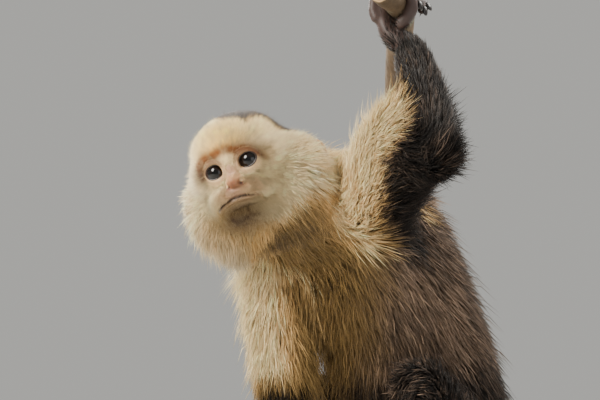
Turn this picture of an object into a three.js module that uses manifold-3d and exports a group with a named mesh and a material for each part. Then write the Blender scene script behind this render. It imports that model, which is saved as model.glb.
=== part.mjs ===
// A white-faced capuchin, life size, as a still museum model. It sits on a cut length of bough with its
// right hand and both feet on the bough, its left arm raised to a side shoot, and its head turned and tilted.
// Units are millimetres. +Z is up, the body faces -Y and its left side is +X. The origin is the centre of
// the underside of the display stand. Every piece reaches out to the tips of the coat.
import * as THREE from "three";
import { mergeVertices } from "three/addons/utils/BufferGeometryUtils.js";
import Module from "manifold-3d";

const wasm = await Module();
wasm.setup();

const v = (x, y, z) => new THREE.Vector3(x, y, z);
const GAP = 0.3; // left between pieces that touch

// ---- driving dimensions ----
const STAND = {
  radius: 165, thick: 18, bevel: 4,
  rod: 6, collar: 13, collarHigh: 9, rodsAt: [62, -68],
};
const BOUGH = { back: 142, front: -165, seatY: 48, seatZ: 245, rise: 0.105, thickBack: 25, thickFront: 21 };
const SHOOT = { thickLow: 12, thickHigh: 8 };
const SEAT = BOUGH.seatZ + 24; // top of the bough under the rump
const TAIL = { root: 18, middle: 13, tip: 8 };
const FINGER = { thick: 4.4, spacing: 8.2 };
const EYE = { radius: 9, apart: 26.8, forward: 27.4 };
const HEAD = { centre: v(-18, -131, 531), yaw: 27, tilt: 23.5 };

// ---- joints of the pose ----
const PELVIS = v(0, BOUGH.seatY, SEAT + 40);
const NECK_BASE = v(0, -54, 504);
const ARM = {
  left: { shoulder: v(46, -72, 508), elbow: v(127, -94, 537), wrist: v(85, -74, 611), grip: v(70, -69, 637) },
  right: { shoulder: v(-45, -70, 471), elbow: v(-27, -85, 379), wrist: v(-9, -102, 301), gripY: -108 },
};
const LEG = {
  left: { side: 1, hip: v(26, 48, 304), knee: v(64, -44, 380), ankle: v(27, -15, 286) },
  right: { side: -1, hip: v(-26, 48, 304), knee: v(-62, -46, 371), ankle: v(-27, 13, 284) },
};

// ---- colours and finishes ----
const finish = (color, roughness) => new THREE.MeshStandardMaterial({ color, roughness, metalness: 0 });
const looks = {
  paleCoat: finish(0xe9d9b4, 0.9),
  chestCoat: finish(0xb9a074, 0.9),
  darkCoat: finish(0x1b1716, 0.85),
  faceSkin: finish(0xd9a68c, 0.55),
  handSkin: finish(0x4a3b37, 0.6),
  eye: finish(0x0d0a09, 0.08),
  bark: finish(0x6e5a45, 0.85),
  base: finish(0x3a2a20, 0.4),
  rod: finish(0x26272a, 0.35),
};

// ---- solids ----
function solidOf(geometry) {
  geometry.deleteAttribute("normal");
  geometry.deleteAttribute("uv");
  const merged = mergeVertices(geometry, 1e-4);
  const mesh = new wasm.Mesh({
    numProp: 3,
    vertProperties: merged.attributes.position.array,
    triVerts: new Uint32Array(merged.index.array),
  });
  return new wasm.Manifold(mesh);
}

function geometryOf(solid) {
  const made = solid.getMesh();
  const position = new Float32Array(made.numVert * 3);
  for (let i = 0; i < made.numVert; i++) {
    position.set(made.vertProperties.subarray(i * made.numProp, i * made.numProp + 3), i * 3);
  }
  const geometry = new THREE.BufferGeometry();
  geometry.setAttribute("position", new THREE.BufferAttribute(position, 3));
  geometry.setIndex(new THREE.BufferAttribute(made.triVerts, 1));
  geometry.computeVertexNormals();
  return geometry;
}

// A closed surface from a grid of points: the rows run from one pole to the other, each row is a ring.
function closedRings(startPole, rings, endPole) {
  const sides = rings[0].length;
  const points = [startPole, ...rings.flat(), endPole];
  const position = new Float32Array(points.flatMap((p) => [p.x, p.y, p.z]));
  const last = points.length - 1;
  const at = (ring, k) => 1 + ring * sides + (k % sides);
  const index = [];
  for (let k = 0; k < sides; k++) {
    index.push(0, at(0, k + 1), at(0, k));
    index.push(last, at(rings.length - 1, k), at(rings.length - 1, k + 1));
    for (let ring = 0; ring < rings.length - 1; ring++) {
      index.push(at(ring, k), at(ring, k + 1), at(ring + 1, k));
      index.push(at(ring, k + 1), at(ring + 1, k + 1), at(ring + 1, k));
    }
  }
  const geometry = new THREE.BufferGeometry();
  geometry.setAttribute("position", new THREE.BufferAttribute(position, 3));
  geometry.setIndex(index);
  return solidOf(geometry);
}

// A smooth number along a list of values, t from 0 to 1, by a Catmull-Rom curve through them.
function along(values, t) {
  const curve = new THREE.CatmullRomCurve3(values.map((value, i) => v(i, value, 0)), false, "centripetal");
  return curve.getPoint(t).y;
}

// A tube with elliptical rings through stations [centre, half width, half depth]. `across` is the direction
// that the width lies along, and each end is a dome `dome` times as long as the end ring's radius.
function limb(stations, { across, rings = 7, sides = 12, dome = 0.8, domeTurns = [0.8], grow = 0 }) {
  const path = new THREE.CatmullRomCurve3(stations.map((s) => s[0]), false, "centripetal");
  const widths = stations.map((s) => s[1]);
  const depths = stations.map((s) => s[2] ?? s[1]);
  const frameAt = (t) => {
    const forward = path.getTangent(t).normalize();
    const side = across.clone().addScaledVector(forward, -across.dot(forward)).normalize();
    return { centre: path.getPoint(t), forward, side, up: forward.clone().cross(side) };
  };
  const ring = (t, share, push) => {
    const { centre, forward, side, up } = frameAt(t);
    const wide = (along(widths, t) + grow) * share;
    const deep = (along(depths, t) + grow) * share;
    return Array.from({ length: sides }, (_, k) => {
      const angle = (2 * Math.PI * k) / sides;
      return centre
        .clone()
        .addScaledVector(forward, push)
        .addScaledVector(side, wide * Math.cos(angle))
        .addScaledVector(up, deep * Math.sin(angle));
    });
  };
  const domeAt = (t, sign) => {
    const reach = (Math.min(along(widths, t), along(depths, t)) * dome + grow) * sign;
    const rows = domeTurns.map((turn) => ring(t, Math.cos(turn), reach * Math.sin(turn)));
    const { centre, forward } = frameAt(t);
    return { rows, pole: centre.clone().addScaledVector(forward, reach) };
  };
  const start = domeAt(0, -1);
  const end = domeAt(1, 1);
  const body = Array.from({ length: rings }, (_, i) => ring(i / (rings - 1), 1, 0));
  return closedRings(start.pole, [...start.rows, ...body, ...end.rows.reverse()], end.pole);
}

// How far a ray from the origin along unit vector `ray` goes before it leaves the ellipsoid, or 0.
function ellipsoidReach(ray, centre, size) {
  const d = ray.clone().divide(size);
  const c = centre.clone().divide(size);
  const a = d.lengthSq();
  const b = d.dot(c);
  const root = b * b - a * (c.lengthSq() - 1);
  return root <= 0 ? 0 : (b + Math.sqrt(root)) / a;
}

// A star-shaped solid about the origin: the reach in each direction is a soft maximum over its masses.
function starShape(masses, { rings, sectors, sharpness = 14, grow = 0, shape = (point) => point }) {
  const pointAt = (polar, turn) => {
    const ray = v(Math.sin(polar) * Math.cos(turn), -Math.cos(polar), -Math.sin(polar) * Math.sin(turn));
    const sum = masses.reduce((s, m) => s + ellipsoidReach(ray, m.centre, m.size) ** sharpness, 0);
    const point = shape(ray.clone().multiplyScalar(sum ** (1 / sharpness)));
    return point.addScaledVector(ray, grow);
  };
  const rows = Array.from({ length: rings - 1 }, (_, i) => {
    const polar = (Math.PI * (i + 1)) / rings;
    return Array.from({ length: sectors }, (_, k) => pointAt(polar, (2 * Math.PI * k) / sectors));
  });
  return closedRings(pointAt(0, 0), rows, pointAt(Math.PI, 0));
}

const ellipsoid = (centre, size, sides = 12) => {
  const ball = new THREE.SphereGeometry(1, sides, Math.round(sides * 0.7));
  return solidOf(ball.scale(size.x, size.y, size.z).translate(centre.x, centre.y, centre.z));
};

const join = (solids) => solids.reduce((sum, solid) => sum.add(solid));

// What is left of a solid once its neighbours, each grown by the gap, are taken out: the largest piece.
function cutBy(solid, neighbours) {
  const left = neighbours.reduce((rest, neighbour) => rest.subtract(neighbour), solid);
  return left.decompose().sort((a, b) => b.volume() - a.volume())[0];
}

// ---- perch ----
const boughCentre = (y) => v(0, y, BOUGH.seatZ + (BOUGH.seatY - y) * BOUGH.rise);
const boughAxis = v(0, -1, BOUGH.rise).normalize();
const boughThick = (y) =>
  THREE.MathUtils.mapLinear(y, BOUGH.back, BOUGH.front, BOUGH.thickBack, BOUGH.thickFront);

function bough(grow) {
  const stations = [];
  for (let i = 0; i <= 6; i++) {
    const y = THREE.MathUtils.lerp(BOUGH.back, BOUGH.front, i / 6);
    const knot = i % 2 ? 0.8 : -0.6;
    stations.push([boughCentre(y), boughThick(y) + knot, boughThick(y)]);
  }
  return limb(stations, { across: v(1, 0, 0), rings: 8, sides: 14, dome: 0.05, domeTurns: [0.4], grow });
}

const shootPath = [
  v(-12, 100, boughCentre(100).z),
  v(-40, 108, 300),
  v(-54, 96, 380),
  v(-50, 68, 470),
  v(-24, 28, 558),
  v(20, -18, 610),
  ARM.left.grip,
  v(92, -112, 648),
];

function shoot(grow) {
  const last = shootPath.length - 1;
  const stations = shootPath.map((point, i) => {
    return [point, THREE.MathUtils.lerp(SHOOT.thickLow, SHOOT.thickHigh, i / last)];
  });
  const across = v(1, 0.4, 0.2);
  return limb(stations, { across, rings: 16, sides: 8, dome: 0.05, domeTurns: [0.4], grow });
}

// ---- trunk, neck and tail ----
function trunk(grow) {
  const stations = [
    [v(0, 66, SEAT + 10), 30, 27],
    [v(0, 54, SEAT + 38), 51, 48],
    [v(0, 33, SEAT + 92), 56, 58],
    [v(0, 5, SEAT + 152), 56, 60],
    [v(0, -24, SEAT + 200), 56, 59],
    [v(0, -45, SEAT + 229), 52, 52],
    [v(0, -58, SEAT + 244), 40, 38],
  ];
  return limb(stations, { across: v(1, 0, 0), rings: 10, sides: 18, dome: 0.5, grow });
}

function neck(grow) {
  const stations = [
    [v(0, -38, NECK_BASE.z - 14), 46, 44],
    [v(-4, -72, NECK_BASE.z - 1), 44, 42],
    [v(-14, -106, NECK_BASE.z + 1), 41, 40],
  ];
  return limb(stations, { across: v(1, 0, 0), rings: 4, sides: 12, dome: 0.55, domeTurns: [0.75], grow });
}

const tailPath = [
  v(2, 78, 302),
  v(12, 112, 291),
  v(36, 140, 262),
  v(54, 140, 215),
  v(57, 112, 172),
  v(52, 70, 142),
  v(44, 22, 127),
  v(40, -26, 131),
  v(44, -60, 152),
  v(50, -62, 181),
  v(50, -40, 192),
  v(47, -24, 178),
];

// One of the lengths of the tail, from place `from` to place `to` of its path.
function tailLength(from, to, grow) {
  const places = tailPath.slice(from, to + 1);
  const stations = places.map((point, i) => {
    const share = (from + i) / (tailPath.length - 1);
    return [point, along([TAIL.root, TAIL.middle + 2, TAIL.middle, TAIL.middle - 1, TAIL.tip], share)];
  });
  const across = v(0.9, 0.2, 0.4);
  const rings = 2 * places.length - 1;
  return limb(stations, { across, rings, sides: 8, dome: 0.9, domeTurns: [0.75], grow });
}

// ---- arms and legs ----
const upperArm = {
  left: (grow) => {
    const { elbow } = ARM.left;
    const stations = [
      [v(26, -60, 496), 35, 34],
      [v(52, -71, 517), 34, 33],
      [v(82, -80, 542), 30, 37],
      [v(106, -88, 544), 26, 31],
      [elbow, 20],
    ];
    return limb(stations, { across: v(0, 1, 0), rings: 7, sides: 12, dome: 0.75, grow });
  },
  right: (grow) => {
    const { elbow } = ARM.right;
    const stations = [
      [v(-38, -56, 486), 34],
      [v(-45, -70, 462), 32, 33],
      [v(-37, -79, 420), 27],
      [elbow, 21],
    ];
    return limb(stations, { across: v(1, 0, 0), rings: 6, sides: 12, dome: 0.75, grow });
  },
};

function forearm(side, grow) {
  const { elbow, wrist } = ARM[side];
  const at = (share) => elbow.clone().lerp(wrist, share);
  const stations = [
    [at(-0.02), 16.5],
    [at(0.35), 19.5],
    [at(0.75), 16],
    [at(1), 12],
  ];
  return limb(stations, { across: v(1, 0.3, 0), rings: 5, dome: 0.6, grow });
}

function thigh(side, grow) {
  const { hip, knee } = LEG[side];
  const at = (share) => hip.clone().lerp(knee, share);
  const stations = [
    [at(0), 33, 37],
    [at(0.35), 31, 35],
    [at(0.75), 25, 27],
    [at(1), 20],
  ];
  const across = v(1, 0, 0);
  return limb(stations, { across, rings: 6, sides: 12, dome: 0.8, domeTurns: [0.95, 0.5], grow });
}

function shin(side, grow) {
  const { knee, ankle } = LEG[side];
  const at = (share) => knee.clone().lerp(ankle, share);
  const stations = [
    [at(0.02), 16.5],
    [at(0.35), 19.5, 20],
    [at(0.75), 15, 16],
    [at(1), 12],
  ];
  return limb(stations, { across: v(1, 0, 0), rings: 5, dome: 0.7, grow });
}

// ---- hands and feet ----
// A finger or toe that wraps round a rod: an arc about `centre` in the plane across `axis`, `sweep`
// radians on from the direction `start`, shifted `shift` along the axis and spread by `spread`.
function wrappedDigit({ centre, axis, start, radius, shift, spread = 0, from, sweep, thick }) {
  const next = axis.clone().cross(start).normalize();
  const stations = [0, 0.34, 0.67, 1].map((share) => {
    const angle = from + sweep * share;
    const reach = radius + 1.4 + thick * (1 - 0.12 * share);
    const point = centre
      .clone()
      .addScaledVector(axis, shift + spread * share)
      .addScaledVector(start, reach * Math.cos(angle))
      .addScaledVector(next, reach * Math.sin(angle));
    return [point, thick * (1 - 0.22 * share)];
  });
  return limb(stations, { across: axis, rings: 4, sides: 5, dome: 0.8, domeTurns: [0.75] });
}

function fourDigits({ centre, axis, start, radius, from, sweep, thick, spacing, lengths }) {
  return lengths.map((length, i) => {
    const shift = (i - 1.5) * spacing;
    return wrappedDigit({
      centre, axis, start, radius, shift, spread: (i - 1.5) * 0.8, from, sweep: sweep * length, thick,
    });
  });
}

function handLeft() {
  const { wrist, grip } = ARM.left;
  const axis = v(0.36, -0.9, 0.24).normalize();
  const back = wrist.clone().sub(grip);
  const start = back.addScaledVector(axis, -back.dot(axis)).normalize();
  const hold = { centre: grip, axis, start, radius: SHOOT.thickHigh + 1.2 };
  const palmSide = start.clone().multiplyScalar(0.8).add(axis.clone().cross(start).multiplyScalar(-0.6));
  const palm = limb(
    [
      [wrist.clone().addScaledVector(start, 3), 11, 9],
      [grip.clone().addScaledVector(palmSide, 17), 15, 8.5],
      [grip.clone().addScaledVector(palmSide.clone().addScaledVector(start, -1.1), 15), 15, 7],
    ],
    { across: axis, rings: 4, sides: 9, dome: 0.7, domeTurns: [0.75] },
  );
  const fingers = fourDigits({
    ...hold, from: -1.7, sweep: -3.4, thick: FINGER.thick, spacing: FINGER.spacing,
    lengths: [0.9, 1, 0.98, 0.82],
  });
  const thumb = wrappedDigit({
    ...hold, shift: 14, spread: 5, from: 0.1, sweep: 1.9, thick: FINGER.thick + 0.4,
  });
  return join([palm, ...fingers, thumb]);
}

function handRight() {
  const { wrist, gripY } = ARM.right;
  const centre = boughCentre(gripY);
  const up = v(0, 0, 1);
  const hold = { centre, axis: boughAxis, start: up, radius: boughThick(gripY) };
  const top = centre.clone().addScaledVector(up, boughThick(gripY) + 6);
  const palm = limb(
    [
      [wrist.clone().add(v(0, 0, -2)), 11, 9],
      [top.clone().add(v(-4, 1, 3)), 15, 9],
      [top.clone().add(v(13, 0, -5)), 15, 7],
    ],
    { across: boughAxis, rings: 4, sides: 9, dome: 0.7, domeTurns: [0.75] },
  );
  const fingers = fourDigits({
    ...hold, from: -0.55, sweep: -1.55, thick: FINGER.thick, spacing: FINGER.spacing,
    lengths: [0.9, 1, 0.96, 0.8],
  });
  const thumb = wrappedDigit({
    ...hold, shift: -14, spread: -3, from: 0.25, sweep: 1.0, thick: FINGER.thick + 0.4,
  });
  return join([palm, ...fingers, thumb]);
}

function foot(side) {
  const { ankle, side: sign } = LEG[side];
  const start = v(sign * 0.77, 0, 0.64).normalize();
  const outward = -sign; // the way round the bough that leads down its outer side
  const onBough = (y, reach) => boughCentre(y).addScaledVector(start, boughThick(y) + reach);
  const heelY = ankle.y + 12;
  const ballY = ankle.y - 44;
  const sole = limb(
    [
      [onBough(heelY, 10), 10, 10],
      [onBough(ankle.y - 14, 10), 11, 9],
      [onBough(ballY, 6), 14, 7],
    ],
    { across: boughAxis.clone().cross(start), rings: 5, sides: 9, dome: 0.8, domeTurns: [0.75] },
  );
  const hold = (y) => ({ centre: boughCentre(y), axis: boughAxis, start, radius: boughThick(y) });
  const toes = fourDigits({
    ...hold(ballY - 4), from: outward * 0.15, sweep: outward * 1.45, thick: FINGER.thick + 0.2,
    spacing: FINGER.spacing, lengths: [0.86, 1, 0.96, 0.84],
  });
  const bigToe = wrappedDigit({
    ...hold(ankle.y - 24), shift: 0, spread: 6, from: -outward * 0.2, sweep: -outward * 1.0,
    thick: FINGER.thick + 1,
  });
  return join([sole, ...toes, bigToe]);
}

// ---- head, in its own frame: x to its left, -y out of the face, eyes at z = 0 ----
const headTurn = new THREE.Matrix4().makeRotationFromEuler(
  new THREE.Euler(0, -THREE.MathUtils.degToRad(HEAD.tilt), THREE.MathUtils.degToRad(HEAD.yaw), "ZYX"),
);
const headPlace = headTurn.clone().setPosition(HEAD.centre);
const inPlace = (solid) => solid.transform(headPlace.elements);
const both = [1, -1];

const headMasses = [
  { centre: v(0, 3, -1), size: v(38.5, 44.5, 31) }, // cranium
  { centre: v(0, -9, 15), size: v(31, 28, 22) }, // forehead
  { centre: v(0, -16, 6), size: v(27, 21, 12) }, // brow
  { centre: v(0, -12, -9), size: v(30, 24, 13) }, // cheekbones
  { centre: v(-3.5, -23.5, -21), size: v(22.5, 23, 13) }, // muzzle, the lips drawn to its right
  { centre: v(-3.5, -16, -31), size: v(21, 23, 13) }, // jaw
  { centre: v(0, 8, -30), size: v(32, 34, 26) }, // throat
  ...both.map((side) => ({ centre: v(side * 22.5, 6, -23), size: v(35.5, 27, 36) })), // cheek ruff
];

const EAR_AT = v(44.5, 13, -13);
const bell = (distance, width) => Math.exp(-((distance / width) ** 2));

// Presses the eye sockets into the front of the head, and a hollow for each ear into its sides.
function pressHollows(point) {
  const hollow = both.reduce((sum, side) => {
    const socket = 3.4 * bell(Math.hypot(point.x - side * (EYE.apart / 2 + 0.5), point.z + 0.5), 8.5);
    const earPit = 9 * bell(Math.hypot(point.y - EAR_AT.y, point.z - EAR_AT.z), 11);
    return sum + (point.y < -10 ? socket : 0) + (point.x * side > 20 ? earPit : 0);
  }, 0);
  return point.setLength(point.length() - hollow);
}

const head = (grow) =>
  starShape(headMasses, { rings: 17, sectors: 23, sharpness: 16, grow, shape: pressHollows });

const noseMasses = [
  { centre: v(0, -0.5, -1), size: v(5.2, 5.5, 5) },
  { centre: v(0, 4, 6), size: v(4.8, 5, 9) },
  ...both.map((side) => ({ centre: v(side * 3.6, 1.8, -1.5), size: v(4.8, 5, 4.4) })),
];
const NOSE_AT = v(0, -41, -11.5);
const nose = () => {
  const shape = starShape(noseMasses, { rings: 8, sectors: 12, sharpness: 8 });
  return shape.translate(NOSE_AT.toArray());
};

const ear = (side) => {
  const shell = ellipsoid(v(side * EAR_AT.x, EAR_AT.y, EAR_AT.z), v(5.5, 10, 13), 10);
  const bowl = ellipsoid(v(side * (EAR_AT.x + 6), EAR_AT.y - 4, EAR_AT.z + 1), v(5, 6, 9), 7);
  return shell.subtract(bowl);
};

// ---- the whole, with every piece named and cut to its neighbours ----
const root = new THREE.Group();

function place(name, solid, material, at = v(0, 0, 0)) {
  const mesh = new THREE.Mesh(geometryOf(solid).translate(-at.x, -at.y, -at.z), material);
  mesh.name = name;
  mesh.position.copy(at);
  root.add(mesh);
}

const boughSolid = bough(0);
const boughGrown = bough(GAP);
const trunkGrown = trunk(GAP);
const headGrown = inPlace(head(GAP));
place("perch", boughSolid, looks.bark);
place("perch_shoot", cutBy(shoot(0), [boughGrown]), looks.bark, shootPath[0]);

place("trunk", cutBy(trunk(0), [boughGrown]), looks.chestCoat, PELVIS);
place("neck", cutBy(neck(0), [trunkGrown, headGrown]), looks.paleCoat, NECK_BASE);

const eyeAt = (side) => v(side * (EYE.apart / 2), -EYE.forward, 0);
const eyeBall = (side, radius) => {
  const ball = new THREE.SphereGeometry(radius, 12, 8).rotateX(Math.PI / 2);
  return solidOf(ball).translate(eyeAt(side).toArray());
};
const eyeHoles = both.map((side) => eyeBall(side, EYE.radius + GAP));
const headSolid = cutBy(inPlace(cutBy(head(0), eyeHoles)), [trunkGrown]);
place("head", headSolid, looks.paleCoat, HEAD.centre);
const nosePlace = NOSE_AT.clone().applyMatrix4(headPlace);
place("nose", inPlace(cutBy(nose(), [head(GAP), ...eyeHoles])), looks.faceSkin, nosePlace);
for (const [name, side] of [["left", 1], ["right", -1]]) {
  const eyePlace = eyeAt(side).applyMatrix4(headPlace);
  place(`eye_${name}`, inPlace(eyeBall(side, EYE.radius)), looks.eye, eyePlace);
  const earPlace = v(side * EAR_AT.x, EAR_AT.y, EAR_AT.z).applyMatrix4(headPlace);
  place(`ear_${name}`, cutBy(inPlace(ear(side)), [headGrown, neck(GAP)]), looks.faceSkin, earPlace);
}

const handShapes = { left: handLeft(), right: handRight() };
const shootGrown = shoot(GAP);
for (const side of ["left", "right"]) {
  const arm = ARM[side];
  const around = [trunkGrown, neck(GAP), headGrown];
  const leg = LEG[side];
  place(`upper_arm_${side}`, cutBy(upperArm[side](0), around), looks.paleCoat, arm.shoulder);
  const foreSolid = cutBy(forearm(side, 0), [...around, upperArm[side](GAP), shootGrown, boughGrown]);
  place(`forearm_${side}`, foreSolid, looks.darkCoat, arm.elbow);
  const handSolid = cutBy(handShapes[side], [forearm(side, GAP), shootGrown, boughGrown]);
  place(`hand_${side}`, handSolid, looks.handSkin, arm.wrist);
  const thighSolid = cutBy(thigh(side, 0), [trunkGrown, boughGrown]);
  place(`thigh_${side}`, thighSolid, looks.darkCoat, leg.hip);
  const shinSolid = cutBy(shin(side, 0), [thigh(side, GAP), trunkGrown, boughGrown]);
  place(`shin_${side}`, shinSolid, looks.darkCoat, leg.knee);
  const footSolid = cutBy(foot(side), [shin(side, GAP), trunkGrown, thigh(side, GAP), boughGrown]);
  place(`foot_${side}`, footSolid, looks.handSkin, leg.ankle);
}

const thighsGrown = ["left", "right"].map((side) => thigh(side, GAP));
const tailPieces = [["base", 0, 4], ["middle", 4, 8], ["tip", 8, 11]];
tailPieces.forEach(([name, from, to], i) => {
  const before = i ? [tailLength(tailPieces[i - 1][1], from, GAP)] : [trunkGrown, ...thighsGrown];
  const piece = cutBy(tailLength(from, to, 0), [...before, boughGrown, shootGrown]);
  place(`tail_${name}`, piece, looks.darkCoat, tailPath[from]);
});

// ---- stand ----
function standBase() {
  const { radius, thick, bevel } = STAND;
  const profile = [
    [0, 0],
    [radius, 0],
    [radius, thick - bevel],
    [radius - bevel, thick],
    [0, thick],
  ].map(([x, y]) => new THREE.Vector2(x, y));
  return solidOf(new THREE.LatheGeometry(profile, 28).rotateX(Math.PI / 2));
}

const rodSolid = (y, from, to, radius) => {
  const rod = new THREE.CylinderGeometry(radius, radius, to - from, 12).rotateX(Math.PI / 2);
  return solidOf(rod.translate(0, y, (from + to) / 2));
};

place("stand_base", standBase(), looks.base);
STAND.rodsAt.forEach((y, i) => {
  const foot = STAND.thick + GAP;
  const rod = rodSolid(y, foot, boughCentre(y).z, STAND.rod).add(
    rodSolid(y, foot, foot + STAND.collarHigh, STAND.collar),
  );
  place(`stand_rod_${i ? "front" : "rear"}`, cutBy(rod, [boughGrown]), looks.rod, v(0, y, STAND.thick));
});

export default root;
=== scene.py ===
import math

import bpy
import numpy as np
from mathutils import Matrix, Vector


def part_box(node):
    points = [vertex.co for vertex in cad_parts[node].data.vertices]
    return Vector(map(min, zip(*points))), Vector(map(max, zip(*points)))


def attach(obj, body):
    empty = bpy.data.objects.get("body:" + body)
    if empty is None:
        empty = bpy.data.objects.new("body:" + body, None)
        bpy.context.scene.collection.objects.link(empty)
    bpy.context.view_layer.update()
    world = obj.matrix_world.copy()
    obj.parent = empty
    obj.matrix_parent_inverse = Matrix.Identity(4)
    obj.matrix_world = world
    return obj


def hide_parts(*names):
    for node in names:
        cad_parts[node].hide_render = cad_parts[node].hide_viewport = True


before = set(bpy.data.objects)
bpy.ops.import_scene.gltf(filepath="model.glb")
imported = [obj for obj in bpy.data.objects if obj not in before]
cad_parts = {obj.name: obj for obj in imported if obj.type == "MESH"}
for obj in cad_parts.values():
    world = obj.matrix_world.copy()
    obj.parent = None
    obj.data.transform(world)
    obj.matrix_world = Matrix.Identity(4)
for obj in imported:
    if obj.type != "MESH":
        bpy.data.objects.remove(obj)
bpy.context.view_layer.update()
mm = 0.001


# small tools for arrays of points

def vec(*values):
    # one row of numbers
    return np.array(values, float)


def lengthOf(a):
    # the length of each row
    return np.linalg.norm(a, axis=-1)


def unit(a):
    # rows divided by their lengths
    return a / np.maximum(np.linalg.norm(a, axis=-1, keepdims=True), 1e-12)


def dot(a, b):
    # the scalar product of matching rows
    return np.sum(a * b, axis=-1)


def bell(distance, width):
    # e to the power of minus the square: 1 at the middle, falling off smoothly on both sides
    return np.exp(-((distance / width) ** 2))


def rise(x, low, high):
    # 0 below low, 1 above high, an S-curve between; the other way round when high is below low
    t = np.clip((x - low) / (high - low), 0, 1)
    return t * t * (3 - 2 * t)


def blend(share, low, high):
    # low where the share is 0, high where it is 1
    return low + (high - low) * share


def tinted(share, low, high):
    # the same for colours or directions, with one share for each row
    return blend(np.asarray(share)[:, None], low, high)


def tone(red, green, blue):
    # a colour as a paint chart gives it, 0 to 255, turned into the light that it reflects
    c = vec(red, green, blue) / 255
    return np.where(c <= 0.04045, c / 12.92, ((c + 0.055) / 1.055) ** 2.4)


def noise(p, size, seed=0):
    # a random number at each corner of cells of that size, blended smoothly inside the cell, from -1 to 1;
    # the large numbers only scatter the bits, so that cells side by side get unlike numbers
    q = p / size
    cell = np.floor(q).astype(np.int64)
    f = q - cell
    f = f * f * (3 - 2 * f)
    total = np.zeros(len(p))
    for corner in np.ndindex(2, 2, 2):
        c = cell + corner
        h = (c[:, 0] * 73856093) ^ (c[:, 1] * 19349663) ^ (c[:, 2] * 83492791) ^ (seed * 40503)
        h = ((h ^ (h >> 13)) * 1274126177) & 0x7FFFFFFF
        h = ((h ^ (h >> 15)) * 668265263) & 0x7FFFFFFF
        share = np.prod(np.where(np.array(corner) == 1, f, 1 - f), axis=1)
        total += share * ((h % 65521) / 32760 - 1)
    return total


# meshes

def addMesh(name, points, triangles):
    # one smooth mesh object from arrays: points (n, 3) in metres and triangles (m, 3) of point numbers
    mesh = bpy.data.meshes.new(name)
    mesh.vertices.add(len(points))
    mesh.vertices.foreach_set("co", np.ascontiguousarray(points, np.float32).ravel())
    mesh.loops.add(triangles.size)
    mesh.loops.foreach_set("vertex_index", np.ascontiguousarray(triangles, np.int32).ravel())
    mesh.polygons.add(len(triangles))
    mesh.polygons.foreach_set("loop_start", np.arange(0, triangles.size, 3, dtype=np.int32))
    mesh.update(calc_edges=True)
    mesh.validate()
    mesh.shade_smooth()
    made = bpy.data.objects.new(name, mesh)
    bpy.context.scene.collection.objects.link(made)
    return made


def readMesh(mesh):
    # the points and the triangles of a mesh
    mesh.calc_loop_triangles()
    points = np.empty(len(mesh.vertices) * 3, np.float32)
    mesh.vertices.foreach_get("co", points)
    triangles = np.empty(len(mesh.loop_triangles) * 3, np.int32)
    mesh.loop_triangles.foreach_get("vertices", triangles)
    return points.reshape(-1, 3).astype(float), triangles.reshape(-1, 3)


def normalsOf(points, triangles):
    # each point's normal is the sum of the area vectors of the triangles that meet there
    a, b, c = (points[triangles[:, k]] for k in range(3))
    area = np.cross(b - a, c - a)
    total = np.zeros_like(points)
    for k in range(3):
        for axis in range(3):
            total[:, axis] += np.bincount(triangles[:, k], area[:, axis], len(points))
    return unit(total)


def relax(points, triangles, turns, strength=0.5, share=1):
    # moves every point part of the way to the mean of its neighbours, several times over
    edges = np.concatenate([triangles[:, [0, 1]], triangles[:, [1, 2]], triangles[:, [2, 0]]])
    edges = np.concatenate([edges, edges[:, ::-1]])
    count = np.maximum(np.bincount(edges[:, 0], minlength=len(points)), 1)[:, None]
    for _ in range(turns):
        total = [np.bincount(edges[:, 0], points[edges[:, 1], k], len(points)) for k in range(3)]
        points = points + (np.stack(total, 1) / count - points) * strength * share
    return points


def gridFaces(rows, columns):
    # triangles of a closed form whose points are: a pole, rows of ring points, and a second pole
    at = 1 + np.arange(rows * columns).reshape(rows, columns)
    after = np.roll(at, -1, axis=1)
    a, b, c, d = at[:-1], after[:-1], at[1:], after[1:]
    first = np.zeros(columns, int)
    last = first + rows * columns + 1
    corners = [(a, b, c), (b, d, c), (first, after[0], at[0]), (last, at[-1], after[-1])]
    return np.concatenate([np.stack(three, -1).reshape(-1, 3) for three in corners])


def outward(points, triangles):
    # turns every face round if the form is inside out, which shows as a negative volume
    a, b, c = (points[triangles[:, k]] for k in range(3))
    return triangles if dot(a, np.cross(b, c)).sum() > 0 else triangles[:, ::-1]


def curve(stations, t):
    # a Catmull-Rom curve through the stations (any number of columns), at places t from 0 to 1
    s = np.asarray(stations, float)
    s = np.vstack([2 * s[0] - s[1], s, 2 * s[-1] - s[-2]])
    at = np.clip(t, 0, 1) * (len(s) - 3)
    i = np.minimum(at.astype(int), len(s) - 4)
    f = (at - i)[:, None]
    p0, p1, p2, p3 = s[i], s[i + 1], s[i + 2], s[i + 3]
    return p1 + 0.5 * f * (p2 - p0 + f * (2 * p0 - 5 * p1 + 4 * p2 - p3 + f * (3 * (p1 - p2) + p3 - p0)))


domeRows = 5  # rings in each rounded end of a tube


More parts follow.
